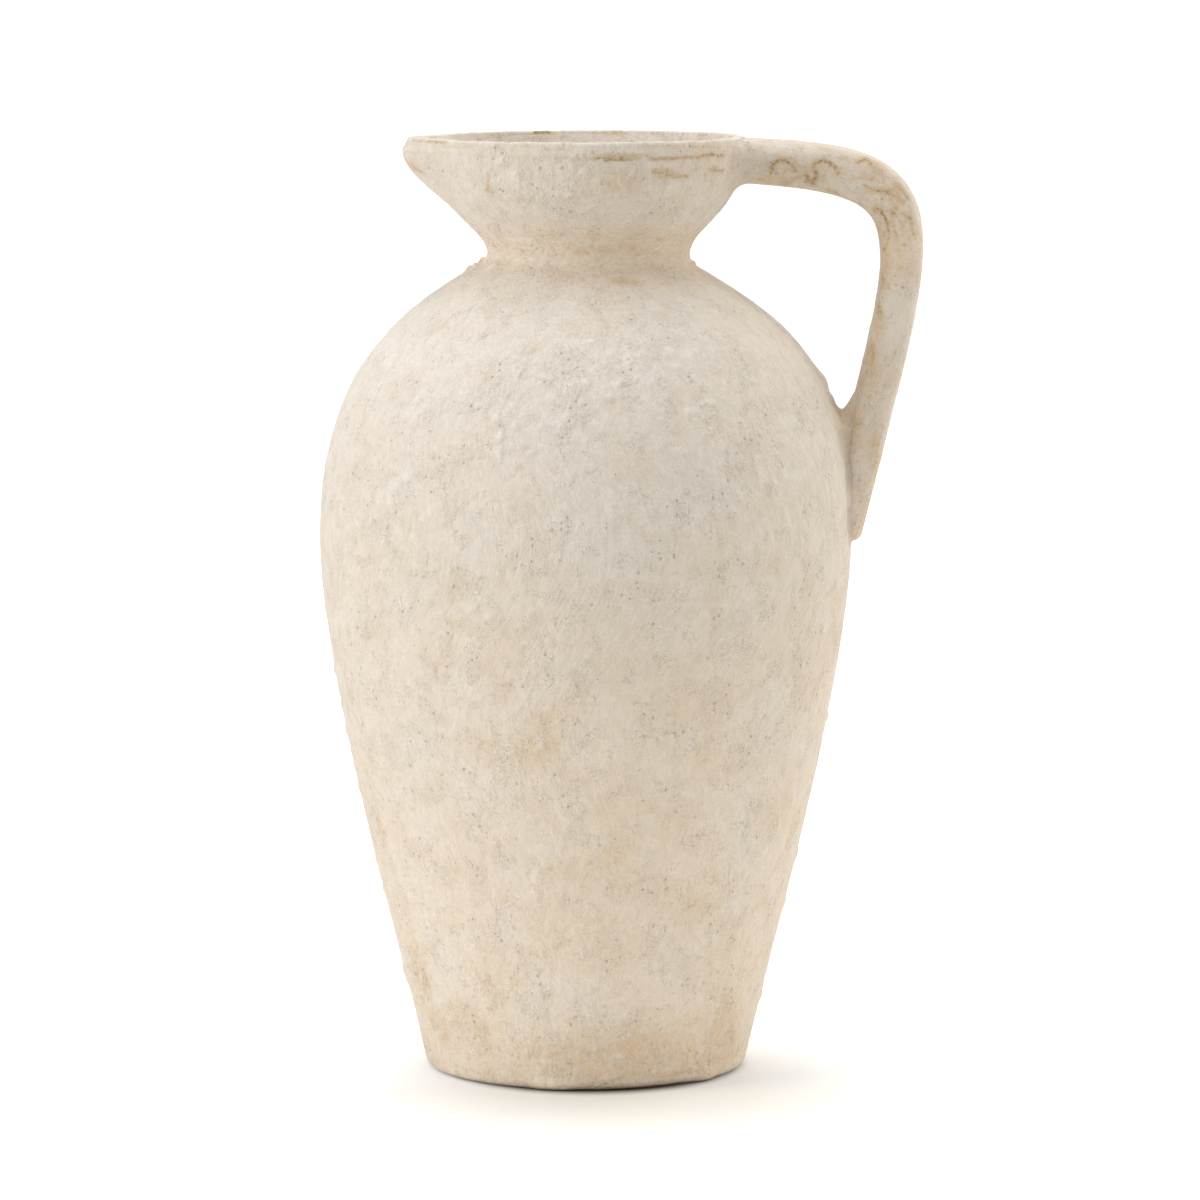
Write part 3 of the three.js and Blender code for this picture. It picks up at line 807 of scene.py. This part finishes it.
rise = (broad + crisp) * (1 - inner_share) * (1 - under_share) - lip_line_deep * groove
rise = rise + inner_share * throwing_rings(plain) * (1 - ramp(rim_height - 25, rim_height, depth_down))
rise = rise + inner_share * 0.5 * (broad + crisp)
rise = rise + foot_edge * (lump_proud * lump - foot_edge_in) * (1 - under_share)
skin = plain + plain_normals * rise[..., None]
skin[..., 2] += foot_edge * (1 - lump) * clear_of_ground
skin[..., 2] = np.maximum(skin[..., 2], 0)
skin[last_row["floor"]] = skin[last_row["floor"]].mean(axis=0)
skin[0] = skin[0].mean(axis=0)
skin_normals = normals_of(skin)
skin_normals[0] = (0, 0, -1)
skin_normals[last_row["floor"]] = (0, 0, 1)

# Wear: along the lip's edges, in the groove and round the foot
lip_rows = (row_number >= first_row["lip"]) & (row_number <= last_row["lip"])
lip_outer = radius_at(outside, rim_seam) + rim_proud


def along_edge(radius, height, reach):
    """1 along an edge of the lip, given where it runs in the section."""
    away = np.hypot(section[:, :1] - radius, section[:, 1:] - height)
    return np.exp(-((away / reach) ** 2)) * lip_rows


outer_edge = along_edge(lip_outer, rim_height - 3.2, 0.9) * ramp(-0.1, 0.35, noise(plain, 14, 45))
inner_edge = along_edge(lip_outer - rim_crest - 1.5, rim_height - 1.0, 1.1)
inner_edge = inner_edge * ramp(-0.1, 0.5, noise(plain, 13, 41))
wear = 0.85 * groove + 0.45 * outer_edge + 0.70 * inner_edge
wear = wear + 0.4 * foot_edge * ramp(0.0, 0.5, noise(plain, 12, 42))
wear = wear + 0.30 * inner_share * ramp(0.1, 0.6, noise(plain, 20, 43)) * (depth_down < rim_height - 30)
wear = np.maximum(wear, patches(plain, worn_marks))
wear = np.maximum(wear, line_marks(plain, pot_lines))
round_lip = np.stack([degrees_round * math.radians(lip_outer) + 0 * depth_down, depth_down], axis=-1)
behind_crest = lip_rows * (section[:, :1] < lip_outer - 1.2)
wear = np.maximum(wear, behind_crest * line_marks(round_lip, far_lip_lines))
skin_layers = coat_layers(plain, crisp, wear)
skin_layers[..., 0] = np.clip(skin_layers[..., 0] + 0.8 * line_marks(plain, pot_lines, 2.5), 0, 1)
# Painted highlight along the lip's crest: less ochre there, more grey-white, and marked high so that the
# material paints it paler
lip_crest_painted_highlight = along_edge(lip_outer - rim_crest * 0.4, rim_height, rim_crest * 0.7)
skin_layers[..., 0] *= 1 - 0.7 * lip_crest_painted_highlight
skin_layers[..., 1] = np.maximum(skin_layers[..., 1], lip_crest_painted_highlight)
skin_layers[..., 3] = np.maximum(skin_layers[..., 3], 0.85 * lip_crest_painted_highlight)
skin_rows = point_rows(skin, skin_normals, skin_layers, skin_stroke)


def turned_piece(name, node, out, back):
    """A closed piece of the pot: rows of the outside, and rows of the inside where it has them."""
    used = list(range(first_row[out[0]], last_row[out[-1]] + 1))
    if back:
        used += list(range(first_row[back[0]], last_row[back[-1]] + 1))
    start_pole, end_pole = out[0] == "under", bool(back) and back[-1] == "floor"
    rings = used[start_pole:len(used) - end_pole]
    rows = skin_rows[rings].reshape(-1, row_length)
    faces = grid_faces(len(rings), around, not start_pole)
    for is_pole, pole, ring, outwards in (
        (start_pole, used[0], np.arange(around), False),
        (end_pole, used[-1], np.arange(around) + (len(rings) - 1) * around, True),
    ):
        if is_pole:
            faces += fan(ring, len(rows), outwards)
            rows = np.concatenate([rows, skin_rows[pole, :1]])
    make_piece(name, node, rows, faces, limewash)


turned_piece("foot_and_floor", "floor_slab", ["under", "foot"], ["floor"])
turned_piece("lower_body", "lower_wall", ["lower"], ["inner_lower"])
turned_piece("shoulder", "shoulder_wall", ["shoulder"], ["inner_shoulder"])
turned_piece("funnel_and_spout", "neck_collar", ["collar"], ["mouth"])
turned_piece("lip", "rim_coil", ["lip"], [])


# Strap handle

def strap_line():
    root = (rim_radius - root_inset, rim_height - root_drop)
    elbow = (belly_radius + handle_stand_off, rim_height - elbow_drop)
    tail = (belly_radius - tail_sink, belly_height - tail_drop)
    past_root = (root[0] + strap_top_pull, root[1] - strap_fall)
    over_tail = (tail[0] + tail_spread * tail_pull, tail[1] + tail_pull)
    top = curve([root, past_root, (elbow[0], elbow[1] + elbow_pull_up), elbow], 400)
    leg = curve([elbow, (elbow[0], elbow[1] - elbow_pull_down), over_tail, tail], 400)
    return respaced(np.concatenate([top, leg[1:]]), 0.4)


strap_middle = strap_line()
strap_tangent = unit(np.gradient(strap_middle, axis=0))
strap_shares = np.linspace(0, 1, len(strap_middle))
strap_length = np.linalg.norm(np.diff(strap_middle, axis=0), axis=1).sum()


def eased(share, pairs):
    """The value at a share of a length, from (share, value) pairs."""
    value = np.full(np.shape(share), float(pairs[0][1]))
    for (start, low), (end, high) in zip(pairs, pairs[1:]):
        value = value + (high - low) * ramp(start, end, share)
    return value


def strap_half_sizes(share):
    root = root_inset / strap_length
    widths = [
        (root, root_width),
        (root + root_flare, strap_width),
        (1 - tail_flare, strap_width),
        (1, tail_width),
    ]
    thicknesses = [
        (0, root_thickness),
        (0.3, bend_thickness),
        (0.48, leg_thickness),
        (0.72, leg_thickness),
        (1, tail_thickness),
    ]
    width, thickness = eased(share, widths), eased(share, thicknesses)
    left = np.clip((1 - share) * strap_length / tail_round, 0, 1)
    kept = tail_kept + (1 - tail_kept) * np.sqrt(1 - (1 - left) ** 2)
    return width / 2 * kept, thickness / 2 * kept


def strap_frame(share):
    return read_off(share, strap_shares, strap_middle), unit(read_off(share, strap_shares, strap_tangent))


def unit_section(count):
    """Evenly spaced (across, out) points of the strap's squared oval, for half sizes of 1."""
    turn = np.linspace(0, 2 * math.pi, 4001)
    across, out = [np.sign(way) * np.abs(way) ** (2 / section_power) for way in (np.cos(turn), np.sin(turn))]
    gone = length_to(np.stack([across * strap_width / 2, out * leg_thickness / 2], axis=1))
    even = np.linspace(0, gone[-1], count, endpoint=False)
    return read_off(even, gone, np.stack([across, out], axis=1))


def strap_points(share, across, out):
    """Points of the strap's skin at a share of its length, for a place in its section."""
    middle, forward = strap_frame(share)
    half_width, half_thickness = strap_half_sizes(share)
    wide, thick = across * half_width, out * half_thickness
    x = middle[..., 0] - forward[..., 1] * thick
    z = middle[..., 1] + forward[..., 0] * thick
    return np.stack([x, wide + 0 * x, z], axis=-1)


# Signed distances, for seating the strap on the pot

def solid_profile(top_height):
    """The outline of the pot taken as solid, up to the lip's crest or with its outer face carried on up."""
    cap = lip_section()
    top = cap[: int(cap[:, 1].argmax()) + 1]
    if top_height > rim_height:
        top = np.concatenate([cap[:2], [[cap[1, 0], top_height]]])
    below = stretch(outside, 0, rim_seam)
    return np.concatenate([respaced(below, 0.7), respaced(top, 0.5)[1:], [[0, top_height]]])


profile = solid_profile(rim_height)
tall_profile = solid_profile(rim_height + 30)


def pot_distance(points, line=profile):
    """How far points are outside the pot, taken as solid, in the plane through its axis."""
    flat = points.reshape(-1, 3)
    radius = np.hypot(flat[:, 0] - shift_at(flat[:, 2]), flat[:, 1])
    place = np.stack([radius, flat[:, 2]], axis=1)
    start, end = line[:-1], line[1:]
    along = end - start
    nearest = np.full(len(place), np.inf)
    sign = np.ones(len(place))
    for block in np.array_split(np.arange(len(place)), max(len(place) // 4000, 1)):
        away = place[block][:, None, :] - start[None]
        share = np.clip((away * along).sum(-1) / (along ** 2).sum(-1), 0, 1)
        off = away - share[..., None] * along
        distance = np.linalg.norm(off, axis=-1)
        best = distance.argmin(axis=1)
        pick = np.arange(len(block))
        nearest[block] = distance[pick, best]
        side = along[best, 0] * away[pick, best, 1] - along[best, 1] * away[pick, best, 0]
        sign[block] = np.where(side > 0, -1, 1)
    return (nearest * sign).reshape(points.shape[:-1])


def strap_place(points):
    """For points near the strap: the share of its length, and how far across, out and beyond they lie."""
    flat = points.reshape(-1, 3)[:, [0, 2]]
    every = strap_middle[::3]
    nearest = ((flat[:, None, :] - every[None]) ** 2).sum(-1).argmin(axis=1) * 3
    share = strap_shares[nearest]
    for _ in range(2):
        middle, forward = strap_frame(share)
        share = np.clip(share + ((flat - middle) * forward).sum(-1) / strap_length, 0, 1)
    middle, forward = strap_frame(share)
    off = flat - middle
    out = off[:, 1] * forward[:, 0] - off[:, 0] * forward[:, 1]
    beyond = (off * forward).sum(-1)
    shape = points.shape[:-1]
    return [v.reshape(shape) for v in (share, points.reshape(-1, 3)[:, 1], out, beyond)]


def strap_distance(points):
    share, across, out, beyond = strap_place(points)
    half_width, half_thickness = strap_half_sizes(share)
    power = section_power
    scaled = (np.abs(across) / half_width) ** power + (np.abs(out) / half_thickness) ** power
    scaled = scaled + (np.abs(beyond) / half_thickness) ** power
    stretch_out = np.maximum(scaled, 1e-9) ** (1 / power)
    reach = np.sqrt(across ** 2 + out ** 2 + beyond ** 2)
    return reach * (1 - 1 / stretch_out)


def last_share(clear, under, still_clear):
    """The share between two at which points of the strap stop being clear of something."""
    for _ in range(26):
        half = (clear + under) / 2
        is_clear = still_clear(half)
        clear, under = np.where(is_clear, half, clear), np.where(is_clear, under, half)
    return clear


def share_at_depth(across, out, standing, sunk, depth, line=profile):
    """The share of the strap at which a line of its skin is at this distance from the pot."""
    shares = [np.full(np.shape(across), float(share)) for share in (standing, sunk)]
    return last_share(*shares, lambda half: pot_distance(strap_points(half, across, out), line) > depth)


strap_dip = -2.5  # the strap's ends go this far into the pot's surface
ring = unit_section(strap_around)
root_reach = (0.3, 0.0)  # shares of the strap that are clear of the pot and under its surface
tail_reach = (0.6, 1.0)
root_share = share_at_depth(*ring.T, *root_reach, strap_dip, tall_profile)
tail_share = share_at_depth(*ring.T, *tail_reach, strap_dip)


# Marks on the strap's front side: x, z, reach along, reach up, strength
strap_ochre = [
    (103, 441, 16, 6, 0.75), (116, 438, 9, 6, 0.6), (96, 438, 6, 6, 0.6), (150, 428, 10, 10, 0.7),
    (140, 441, 9, 5, 0.7), (146, 410, 5, 12, 0.9), (157, 414, 4, 9, 0.7), (144.5, 390, 3.4, 14, 0.9),
    (142.5, 370, 3.2, 14, 0.95), (139, 350, 3.6, 12, 0.95), (134, 338, 6, 8, 0.6),
    (126, 319, 9, 9, 0.9), (141.5, 300, 2.6, 16, 0.7), (137, 276, 3, 14, 0.9), (60, 451, 14, 6, 0.6),
]
strap_worn = [
    (86, 440, 3, 1, 0.4), (144.5, 389, 1.6, 5, 0.6), (142.8, 372, 1.6, 6, 0.65),
    (139.6, 352, 1.7, 7, 0.6), (127, 321, 5, 4, 0.5), (137.5, 270, 2, 6, 0.5),
]

# Thin worn lines on the strap's front side: strength, half width, and the places that each runs through
strap_lines = [
    (0.85, 1.3, [(90.1, 442), (91.6, 444.9), (94.2, 446.5), (97.6, 445.6), (100, 444), (101.7, 441.1)]),
    (0.5, 1.6, [(89.2, 436.5), (89.6, 439.4), (90.1, 442)]),
    (0.95, 1.5, [(106.8, 438.9), (108.3, 436), (110.2, 435), (111.7, 437.9), (111.4, 440.8)]),
    (0.85, 1.3, [(110.2, 442.7), (111.6, 444.7), (115, 445.8), (117.9, 444.9), (120.4, 443.2),
                 (122.6, 439.6)]),
    (0.6, 0.9, [(94.7, 434.3), (98.1, 436), (102, 437.4)]),
    (0.5, 0.9, [(96.2, 434), (100.1, 435.5)]),
    (0.4, 1, [(113.6, 451.7), (118.4, 451)]),
    (0.55, 1.2, [(122.3, 446.9), (126.6, 447.1)]),
    (0.8, 1.1, [(132, 445), (133.9, 446), (135.9, 446.4), (138.3, 444.6)]),
    (0.6, 1, [(139.7, 442.3), (143.6, 440.8)]),
    (0.7, 1.1, [(134.9, 434), (137.9, 432.1), (142.7, 430.9), (147.5, 431.1), (150.9, 432.6)]),
    (0.65, 1.1, [(144.6, 431.6), (149, 429.2), (153.9, 426.3)]),
    (0.65, 1.1, [(150.9, 433.6), (153.8, 431.1), (156.3, 427.3)]),
    (0.45, 1.1, [(128, 436.5), (134, 437.6), (139, 436.8)]),
    (0.9, 1, [(140.8, 422.9), (143.2, 421.4), (145.2, 418.5), (146.4, 414.7), (147.2, 410.3)]),
    (0.8, 0.9, [(147.2, 410.3), (146.7, 405.9), (144.8, 402.1)]),
    (0.6, 1, [(143.7, 421.9), (147.1, 421)]),
    (0.6, 1, [(147.6, 421), (149.1, 417.1), (149.6, 412.7), (151, 408.8)]),
    (0.85, 1.2, [(148.1, 421.4), (150.5, 419.5)]),
    (0.7, 1.1, [(153.9, 420), (157.3, 418.1), (158.3, 414.7), (159.3, 409.8)]),
    (0.5, 1.1, [(152.5, 416.1), (154.4, 414.2)]),
    (0.45, 0.9, [(148.2, 395.3), (146.3, 393.8), (145.8, 389.4)]),
    (0.55, 1.1, [(81.1, 443.7), (84.5, 442.3)]),
    (0.4, 1.2, [(75.3, 451.9), (85.5, 451)]),
    (0.55, 1.1, [(83.1, 437.9), (86, 436.5)]),
]


def on_front(points):
    return ramp(-6, -12, points[..., 1])


def front_marks(points, listed):
    total = np.zeros(points.shape[:-1])
    for x, z, wide, high, strength in listed:
        away = ((points[..., 0] - x) / wide) ** 2 + ((points[..., 2] - z) / high) ** 2
        total = np.maximum(total, strength * np.exp(-away))
    return total * on_front(points)


def strap_stain(points):
    return 0.10 + 0.27 * (1 - ramp(330, 400, points[..., 2]))


def strap_stroke_place(share, across, out):
    return np.stack([across * strap_width / 2, out * leg_thickness / 2, share * strap_length * 0.16], axis=-1)


def strap_piece():
    count = int(strap_length / strap_step)
    blend = np.linspace(0, 1, count)[:, None]
    share = root_share[None] * (1 - blend) + tail_share[None] * blend
    across = ring[None, :, 0] + 0 * share
    out = ring[None, :, 1] + 0 * share
    base = strap_points(share, across, out)
    normals = normals_of(base[:, ::-1])[:, ::-1]
    place = strap_stroke_place(share, across, out)
    broad_part, crisp_part = relief(base, place)
    grid = base + normals * (broad_part + crisp_part)[..., None]
    normals = normals_of(grid[:, ::-1])[:, ::-1]

    edge = ramp(0.55, 0.8, np.minimum(np.abs(across), np.abs(out)))
    bend = swell(base[..., 0], 118, 150, 185) * ramp(385, 415, base[..., 2])
    lines = ramp(0.15, 0.5, noise(place * (1, 1, 1.6), 2.2, 52))
    wear = (0.30 + 0.3 * bend) * edge * ramp(-0.1, 0.5, noise(base, 15, 50))
    wear = wear + 0.32 * ramp(-0.4, -0.95, out) * ramp(0.0, 0.5, noise(base, 12, 51))
    wear = wear + (0.06 + 0.50 * bend) * lines * ramp(-0.1, 0.4, noise(base, 11, 53))
    front_place = base[..., [0, 2]]
    wear = np.maximum(wear, front_marks(base, strap_worn))
    wear = np.maximum(wear, line_marks(front_place, strap_lines) * on_front(base))
    layers = coat_layers(base, crisp_part, wear)
    halo = 0.9 * line_marks(front_place, strap_lines, 2.0) * on_front(base)
    layers[..., 0] = np.clip(layers[..., 0] + front_marks(base, strap_ochre) + halo + strap_stain(base), 0, 1)
    layers[..., 1] *= 0.75

    rows = point_rows(grid, normals, layers, place)
    poles = rows[[0, -1], 0]
    poles[:, :3] = [grid[0].mean(axis=0), grid[-1].mean(axis=0)]
    faces = grid_faces(count, strap_around, False)
    for pole, (row, outwards) in enumerate([(0, True), (count - 1, False)]):
        faces += fan(np.arange(strap_around) + row * strap_around, count * strap_around + pole, outwards)
    faces = [tuple(reversed(face)) for face in faces]
    rows = np.concatenate([rows.reshape(-1, row_length), poles])
    make_piece("strap", "strap_handle", rows, faces, limewash)


strap_piece()


def slope_of(function, points, step=0.2):
    value = function(points)
    return unit(np.stack([(function(points + step * axis) - value) / step for axis in np.eye(3)], axis=-1))


def onto_pot(points):
    for _ in range(2):
        points = points - slope_of(pot_distance, points) * pot_distance(points)[:, None]
    return points


def seat_piece(name, node, sizes, reach):
    """Soft clay round one end of the strap: a hollow-faced ring that runs into the strap and the pot."""
    at_side, at_inner, at_outer, notch = sizes
    columns = unit_section(seat_columns)
    across, out = columns[:, 0], columns[:, 1]
    size = at_side + (at_inner - at_side) * ramp(-0.45, -1.0, out)
    size = size + (at_outer - size) * ramp(0.2, 0.95, out)
    corner_share = share_at_depth(across, out, *reach, 0.0)
    corner = strap_points(corner_share, across, out)

    def beyond_seat(share):
        return np.linalg.norm(strap_points(share, across, out) - corner, axis=-1) > size

    strap_share = last_share(np.full(seat_columns, float(reach[0])), corner_share, beyond_seat)
    on_strap = strap_points(strap_share, across, out)

    from_pot = slope_of(pot_distance, corner)
    from_strap = slope_of(strap_distance, corner)
    aside = unit(from_strap - (from_strap * from_pot).sum(-1, keepdims=True) * from_pot)
    on_pot = onto_pot(corner + aside * size[:, None])

    up_strap, down_pot = unit(on_strap - corner), unit(on_pot - corner)
    bend = math.pi - np.arccos(np.clip((up_strap * down_pot).sum(-1), -1, 1))
    handle = (4 / 3 * np.tan(bend / 4) / np.tan(np.maximum(bend, 0.05) / 2))[:, None]
    sharp = ramp(-0.45, -1.0, out)[:, None] * (notch > 0)
    aim = corner + sharp * notch * ((on_strap + on_pot) / 2 - corner)
    handle = handle + (1 - handle) * sharp
    first, last = on_strap + (aim - on_strap) * handle, on_pot + (aim - on_pot) * handle
    blend = np.linspace(0, 1, seat_rows + 1)[:, None, None]
    base = on_strap * (1 - blend) ** 3 + 3 * first * blend * (1 - blend) ** 2
    base = base + 3 * last * blend ** 2 * (1 - blend) + on_pot * blend ** 3
    normals = normals_of(base)
    flip = np.sign((normals[seat_rows // 2] * (from_pot + from_strap)).sum())
    normals = normals * flip

    strap_side = strap_stroke_place(strap_share, across, out) + 0 * base
    pot_side = stroke_place(base)
    broad_part, crisp_part = relief(base, pot_side)
    crisp_strap = relief(base, strap_side)[1]
    crisp_part = crisp_strap * (1 - blend[..., 0]) + crisp_part * blend[..., 0]
    grid = base + normals * (broad_part + crisp_part)[..., None]
    normals = normals_of(grid) * flip
    proud = seat_proud * ramp(0, 0.12, blend) * ramp(1, 0.88, blend)
    proud = proud - seat_dip * (1 - ramp(0, 0.06, blend)) - seat_dip * ramp(0.94, 1, blend)
    grid = grid + normals * proud

    at_pot = on_pot - 2.5 * from_pot - 2 * from_strap
    at_corner = corner - 2 * from_pot - 2 * from_strap
    at_strap = on_strap - 3 * from_strap
    points = np.concatenate([grid, np.stack([at_pot, at_corner, at_strap])])
    all_normals = np.concatenate([normals, np.stack([-from_pot, -from_pot, -from_strap])])
    wear = 0.25 * ramp(0.0, 0.5, noise(base, 9, 60))
    stained = patches(base, seat_stains)
    layers = coat_layers(base, crisp_part, np.maximum(wear, stained))
    on_strap_stain = (strap_stain(base) + front_marks(base, strap_ochre)) * (1 - blend[..., 0])
    layers[..., 0] = np.clip(layers[..., 0] + on_strap_stain + 0.15, 0, 1)
    layers[..., 1] *= 0.6
    strokes = strap_side * (1 - blend) + pot_side * blend
    layers, strokes = [np.concatenate([part, np.repeat(part[-1:], 3, axis=0)]) for part in (layers, strokes)]
    faces = grid_faces(len(points), seat_columns, True)
    if flip < 0:
        faces = [tuple(reversed(face)) for face in faces]
    make_piece(name, node, point_rows(points, all_normals, layers, strokes), faces, limewash)


seat_proud = 0.06
seat_dip = 0.15  # its edges dip by this below strap and pot
seat_stains = [(-5, 322, 8, 10, 0.6), (-9, 300, 7, 26, 0.35)]

# How far each seat reaches at the strap's sides, under it and over it, and how far its notch is drawn in
root_sizes = (15.0, 6.5, 1.2, 0.0)
tail_sizes = (7.5, 24.0, 1.2, 0.48)
seat_piece("clay_round_handle_root", "root_seat_coil", root_sizes, root_reach)
seat_piece("clay_round_handle_tail", "tail_seat_coil", tail_sizes, tail_reach)


# Coils over the seams inside the pot

def inner_coil(name, node, low, high, corner=None):
    """A soft coil on the inner wall between two heights, or in the corner of floor and wall."""
    low_point, high_point = [np.array([radius_at(inside, h), h]) for h in (low, high)]
    if corner is None:
        ends = [high_point, low_point]
        along = low_point - high_point
        middle = (low_point + high_point) / 2 + np.array([along[1], -along[0]]) * coil_swell
        back = [(low_point + high_point) / 2 + np.array([1.5, 0])]
    else:
        ends = [high_point, np.array([corner[0] - (high - low), low])]
        middle = np.array(corner) + (ends[0] + ends[1] - 2 * np.array(corner)) * (1 - coil_swell) * 0.5
        back = [np.array(corner) + np.array([1.0, -1.0])]
    face = curve([ends[0], middle, ends[1]], 16)
    outline_points = np.concatenate([face, back])
    turned_points = hand_shaped(outline_points[:, :1], outline_points[:, 1:], coil_azimuths[None, :])
    normals = normals_of(turned_points)
    dents = 0.45 * noise(turned_points, 9, 70) + 0.25 * noise(turned_points, 4, 71)
    dents = dents * (np.arange(len(outline_points)) < len(face))[:, None]
    grid = turned_points + normals * (dents - 0.2)[..., None]
    normals = normals_of(grid)
    layers = coat_layers(turned_points, dents, 0 * dents)
    rows = point_rows(grid, normals, layers, stroke_place(turned_points))
    make_piece(name, node, rows, grid_faces(len(outline_points), len(coil_azimuths), True), bare)


floor_coil = 7
belt_coil = 6
neck_coil = 5
coil_swell = 0.42
coil_azimuths = np.linspace(0, 2 * math.pi, 240, endpoint=False)
floor_corner = (radius_at(inside, floor_top), floor_top)
inner_coil("coil_over_floor_seam", "floor_seam_coil", floor_top, floor_top + floor_coil, floor_corner)
inner_coil("coil_over_belt_seam", "belt_seam_coil", belt_height - belt_coil, belt_height + belt_coil)
inner_coil("coil_over_neck_seam", "neck_seam_coil", neck_height - neck_coil, neck_height + neck_coil)


# Stage: camera, light and a pale floor with painted shade and reflection

camera_distance = 3.2
camera_height = 0.594
camera_side = 0.00707
camera_aim = 0.2298
lens = 197.0

camera_data = bpy.data.cameras.new("camera")
camera_data.lens = lens
camera_data.sensor_width = 36
camera_data.clip_end = 200
camera = placed("camera", camera_data)
camera.location = (camera_side, -camera_distance, camera_height)
pitch = math.atan2(camera_height - camera_aim, camera_distance)
camera.rotation_euler = (math.pi / 2 - pitch, 0, 0)
bpy.context.scene.camera = camera


lamp_size = 1.8
lamp_target = Vector((0, 0, 0.24))
cool, warm, plain_white = (0.975, 1.0, 1.05), (1.02, 0.99, 0.93), (1.0, 1.0, 0.99)
lamps = [
    ("left", (-2.6, -0.9, 1.2), 33.4, cool),
    ("right_back", (1.8, 1.9, 1.2), 20.0, warm),
    ("right", (2.6, 0.1, 1.0), 12.7, warm),
    ("overhead_front", (-0.1, -0.6, 2.6), 13.0, plain_white),
    ("overhead", (0.0, 0.4, 2.6), 16.0, plain_white),
]
for name, place, power, color in lamps:
    data = bpy.data.lights.new(name, "AREA")
    data.shape = "DISK"
    data.size = lamp_size
    data.energy = power
    data.color = color
    lamp = placed(name, data)
    lamp.visible_camera = False
    lamp.location = place
    lamp.rotation_euler = (lamp_target - Vector(place)).to_track_quat("-Z", "Y").to_euler()


def seen_directly(n):
    """1 for rays from the camera or seen in gloss or glass, and 0 for light that falls on things."""
    camera_ray = n.add("ShaderNodeLightPath", output="Is Camera Ray")
    shown = n.math("MAXIMUM", camera_ray, camera_ray.also("Is Glossy Ray"))
    return n.math("MAXIMUM", shown, camera_ray.also("Is Transmission Ray"))


def make_world():
    world = bpy.data.worlds.new("studio")
    bpy.context.scene.world = world
    n = Nodes(world)
    seen = n.add("ShaderNodeBackground", {"Color": (1, 1, 1, 1), "Strength": 1.0})
    lit = n.add("ShaderNodeBackground", {"Color": (1.0, 0.99, 0.965, 1), "Strength": 0.565})
    both = n.add("ShaderNodeMixShader", {0: seen_directly(n), 1: lit, 2: seen})
    n.add("ShaderNodeOutputWorld", {"Surface": both})


shade_middle = (0.025, -0.085, 0)  # the middle of the soft shade painted on the floor by less glow
shade_reach = 0.105
under_foot = 0.0740  # the floor under the foot is painted in full shade out to here
beside_foot = 0.0920  # and painted in hardly any from here
foot_middle = (0.002, 0, 0)
side_light = 1.16  # the lamps at the sides narrow that painted shade by this
under_foot_open = 0.0725  # out to here light comes through to the foot's under side, for views from below
floor_drop = 0.00005
floor_rings = [0.4, 1.2, 4, 12, 60]
pale_beside = (0.87, 0.875, 0.885)
# Warmer in front: a painted warm reflection of the vase on the floor
pale_with_painted_reflection_in_front = (0.88, 0.858, 0.815)
# Painted contact shadow under the foot
painted_contact_shadow = (0.12, 0.10, 0.08)


def make_floor():
    mesh = bpy.data.meshes.new("floor")
    turn = np.linspace(0, 2 * math.pi, 97)[:-1]
    count = len(turn)
    points = [(0, 0, 0)] + [(r * math.cos(t), r * math.sin(t), 0) for r in floor_rings for t in turn]
    faces = [(0, 1 + j, 1 + (j + 1) % count) for j in range(count)]
    for i in range(len(floor_rings) - 1):
        a, b = 1 + i * count, 1 + (i + 1) * count
        faces += [(a + j, b + j, b + (j + 1) % count, a + (j + 1) % count) for j in range(count)]
    mesh.from_pydata(points, [], faces)
    material = bpy.data.materials.new("pale_floor_with_painted_shade")
    n = Nodes(material)
    place = n.add("ShaderNodeTexCoord", output="Object")
    from_shade = n.scaled(n.vector("SUBTRACT", place, shade_middle), (1 / shade_reach, 1 / shade_reach, 0))
    # The floor glows for camera rays, less near the vase, which paints its soft shade on the floor
    glow = n.ramp(n.length(from_shade), 0.2, 2.6, 0.0, 0.65)
    from_foot = n.vector("SUBTRACT", place, foot_middle)
    beyond_painted_shadow = n.ramp(n.length(n.scaled(from_foot, (side_light, 1, 0))), under_foot, beside_foot)
    painted_reflection_in_front = n.ramp(n.add("ShaderNodeSeparateXYZ", {0: place}, 1), -0.03, -0.10)
    color = n.mix(beyond_painted_shadow, painted_contact_shadow, n.mix(painted_reflection_in_front, pale_beside, pale_with_painted_reflection_in_front))
    matt = n.add("ShaderNodeBsdfDiffuse", {"Color": color})
    shine = n.add("ShaderNodeEmission", {"Color": (1, 1, 1, 1), "Strength": glow * seen_directly(n)})
    both = n.add("ShaderNodeAddShader", {0: matt, 1: shine})
    from_below = n.add("ShaderNodeNewGeometry", output="Backfacing")
    to_light = n.math("LESS_THAN", n.length(from_foot), under_foot_open)
    open_here = n.math("MAXIMUM", from_below, n.math("SUBTRACT", to_light, seen_directly(n)))
    clear = n.add("ShaderNodeBsdfTransparent")
    shown = n.add("ShaderNodeMixShader", {0: open_here, 1: both, 2: clear})
    n.add("ShaderNodeOutputMaterial", {"Surface": shown})
    mesh.materials.append(material)
    floor = placed("floor", mesh)
    floor.location = (0, 0, -floor_drop)


make_world()
make_floor()
bpy.context.scene.view_settings.view_transform = "Standard"
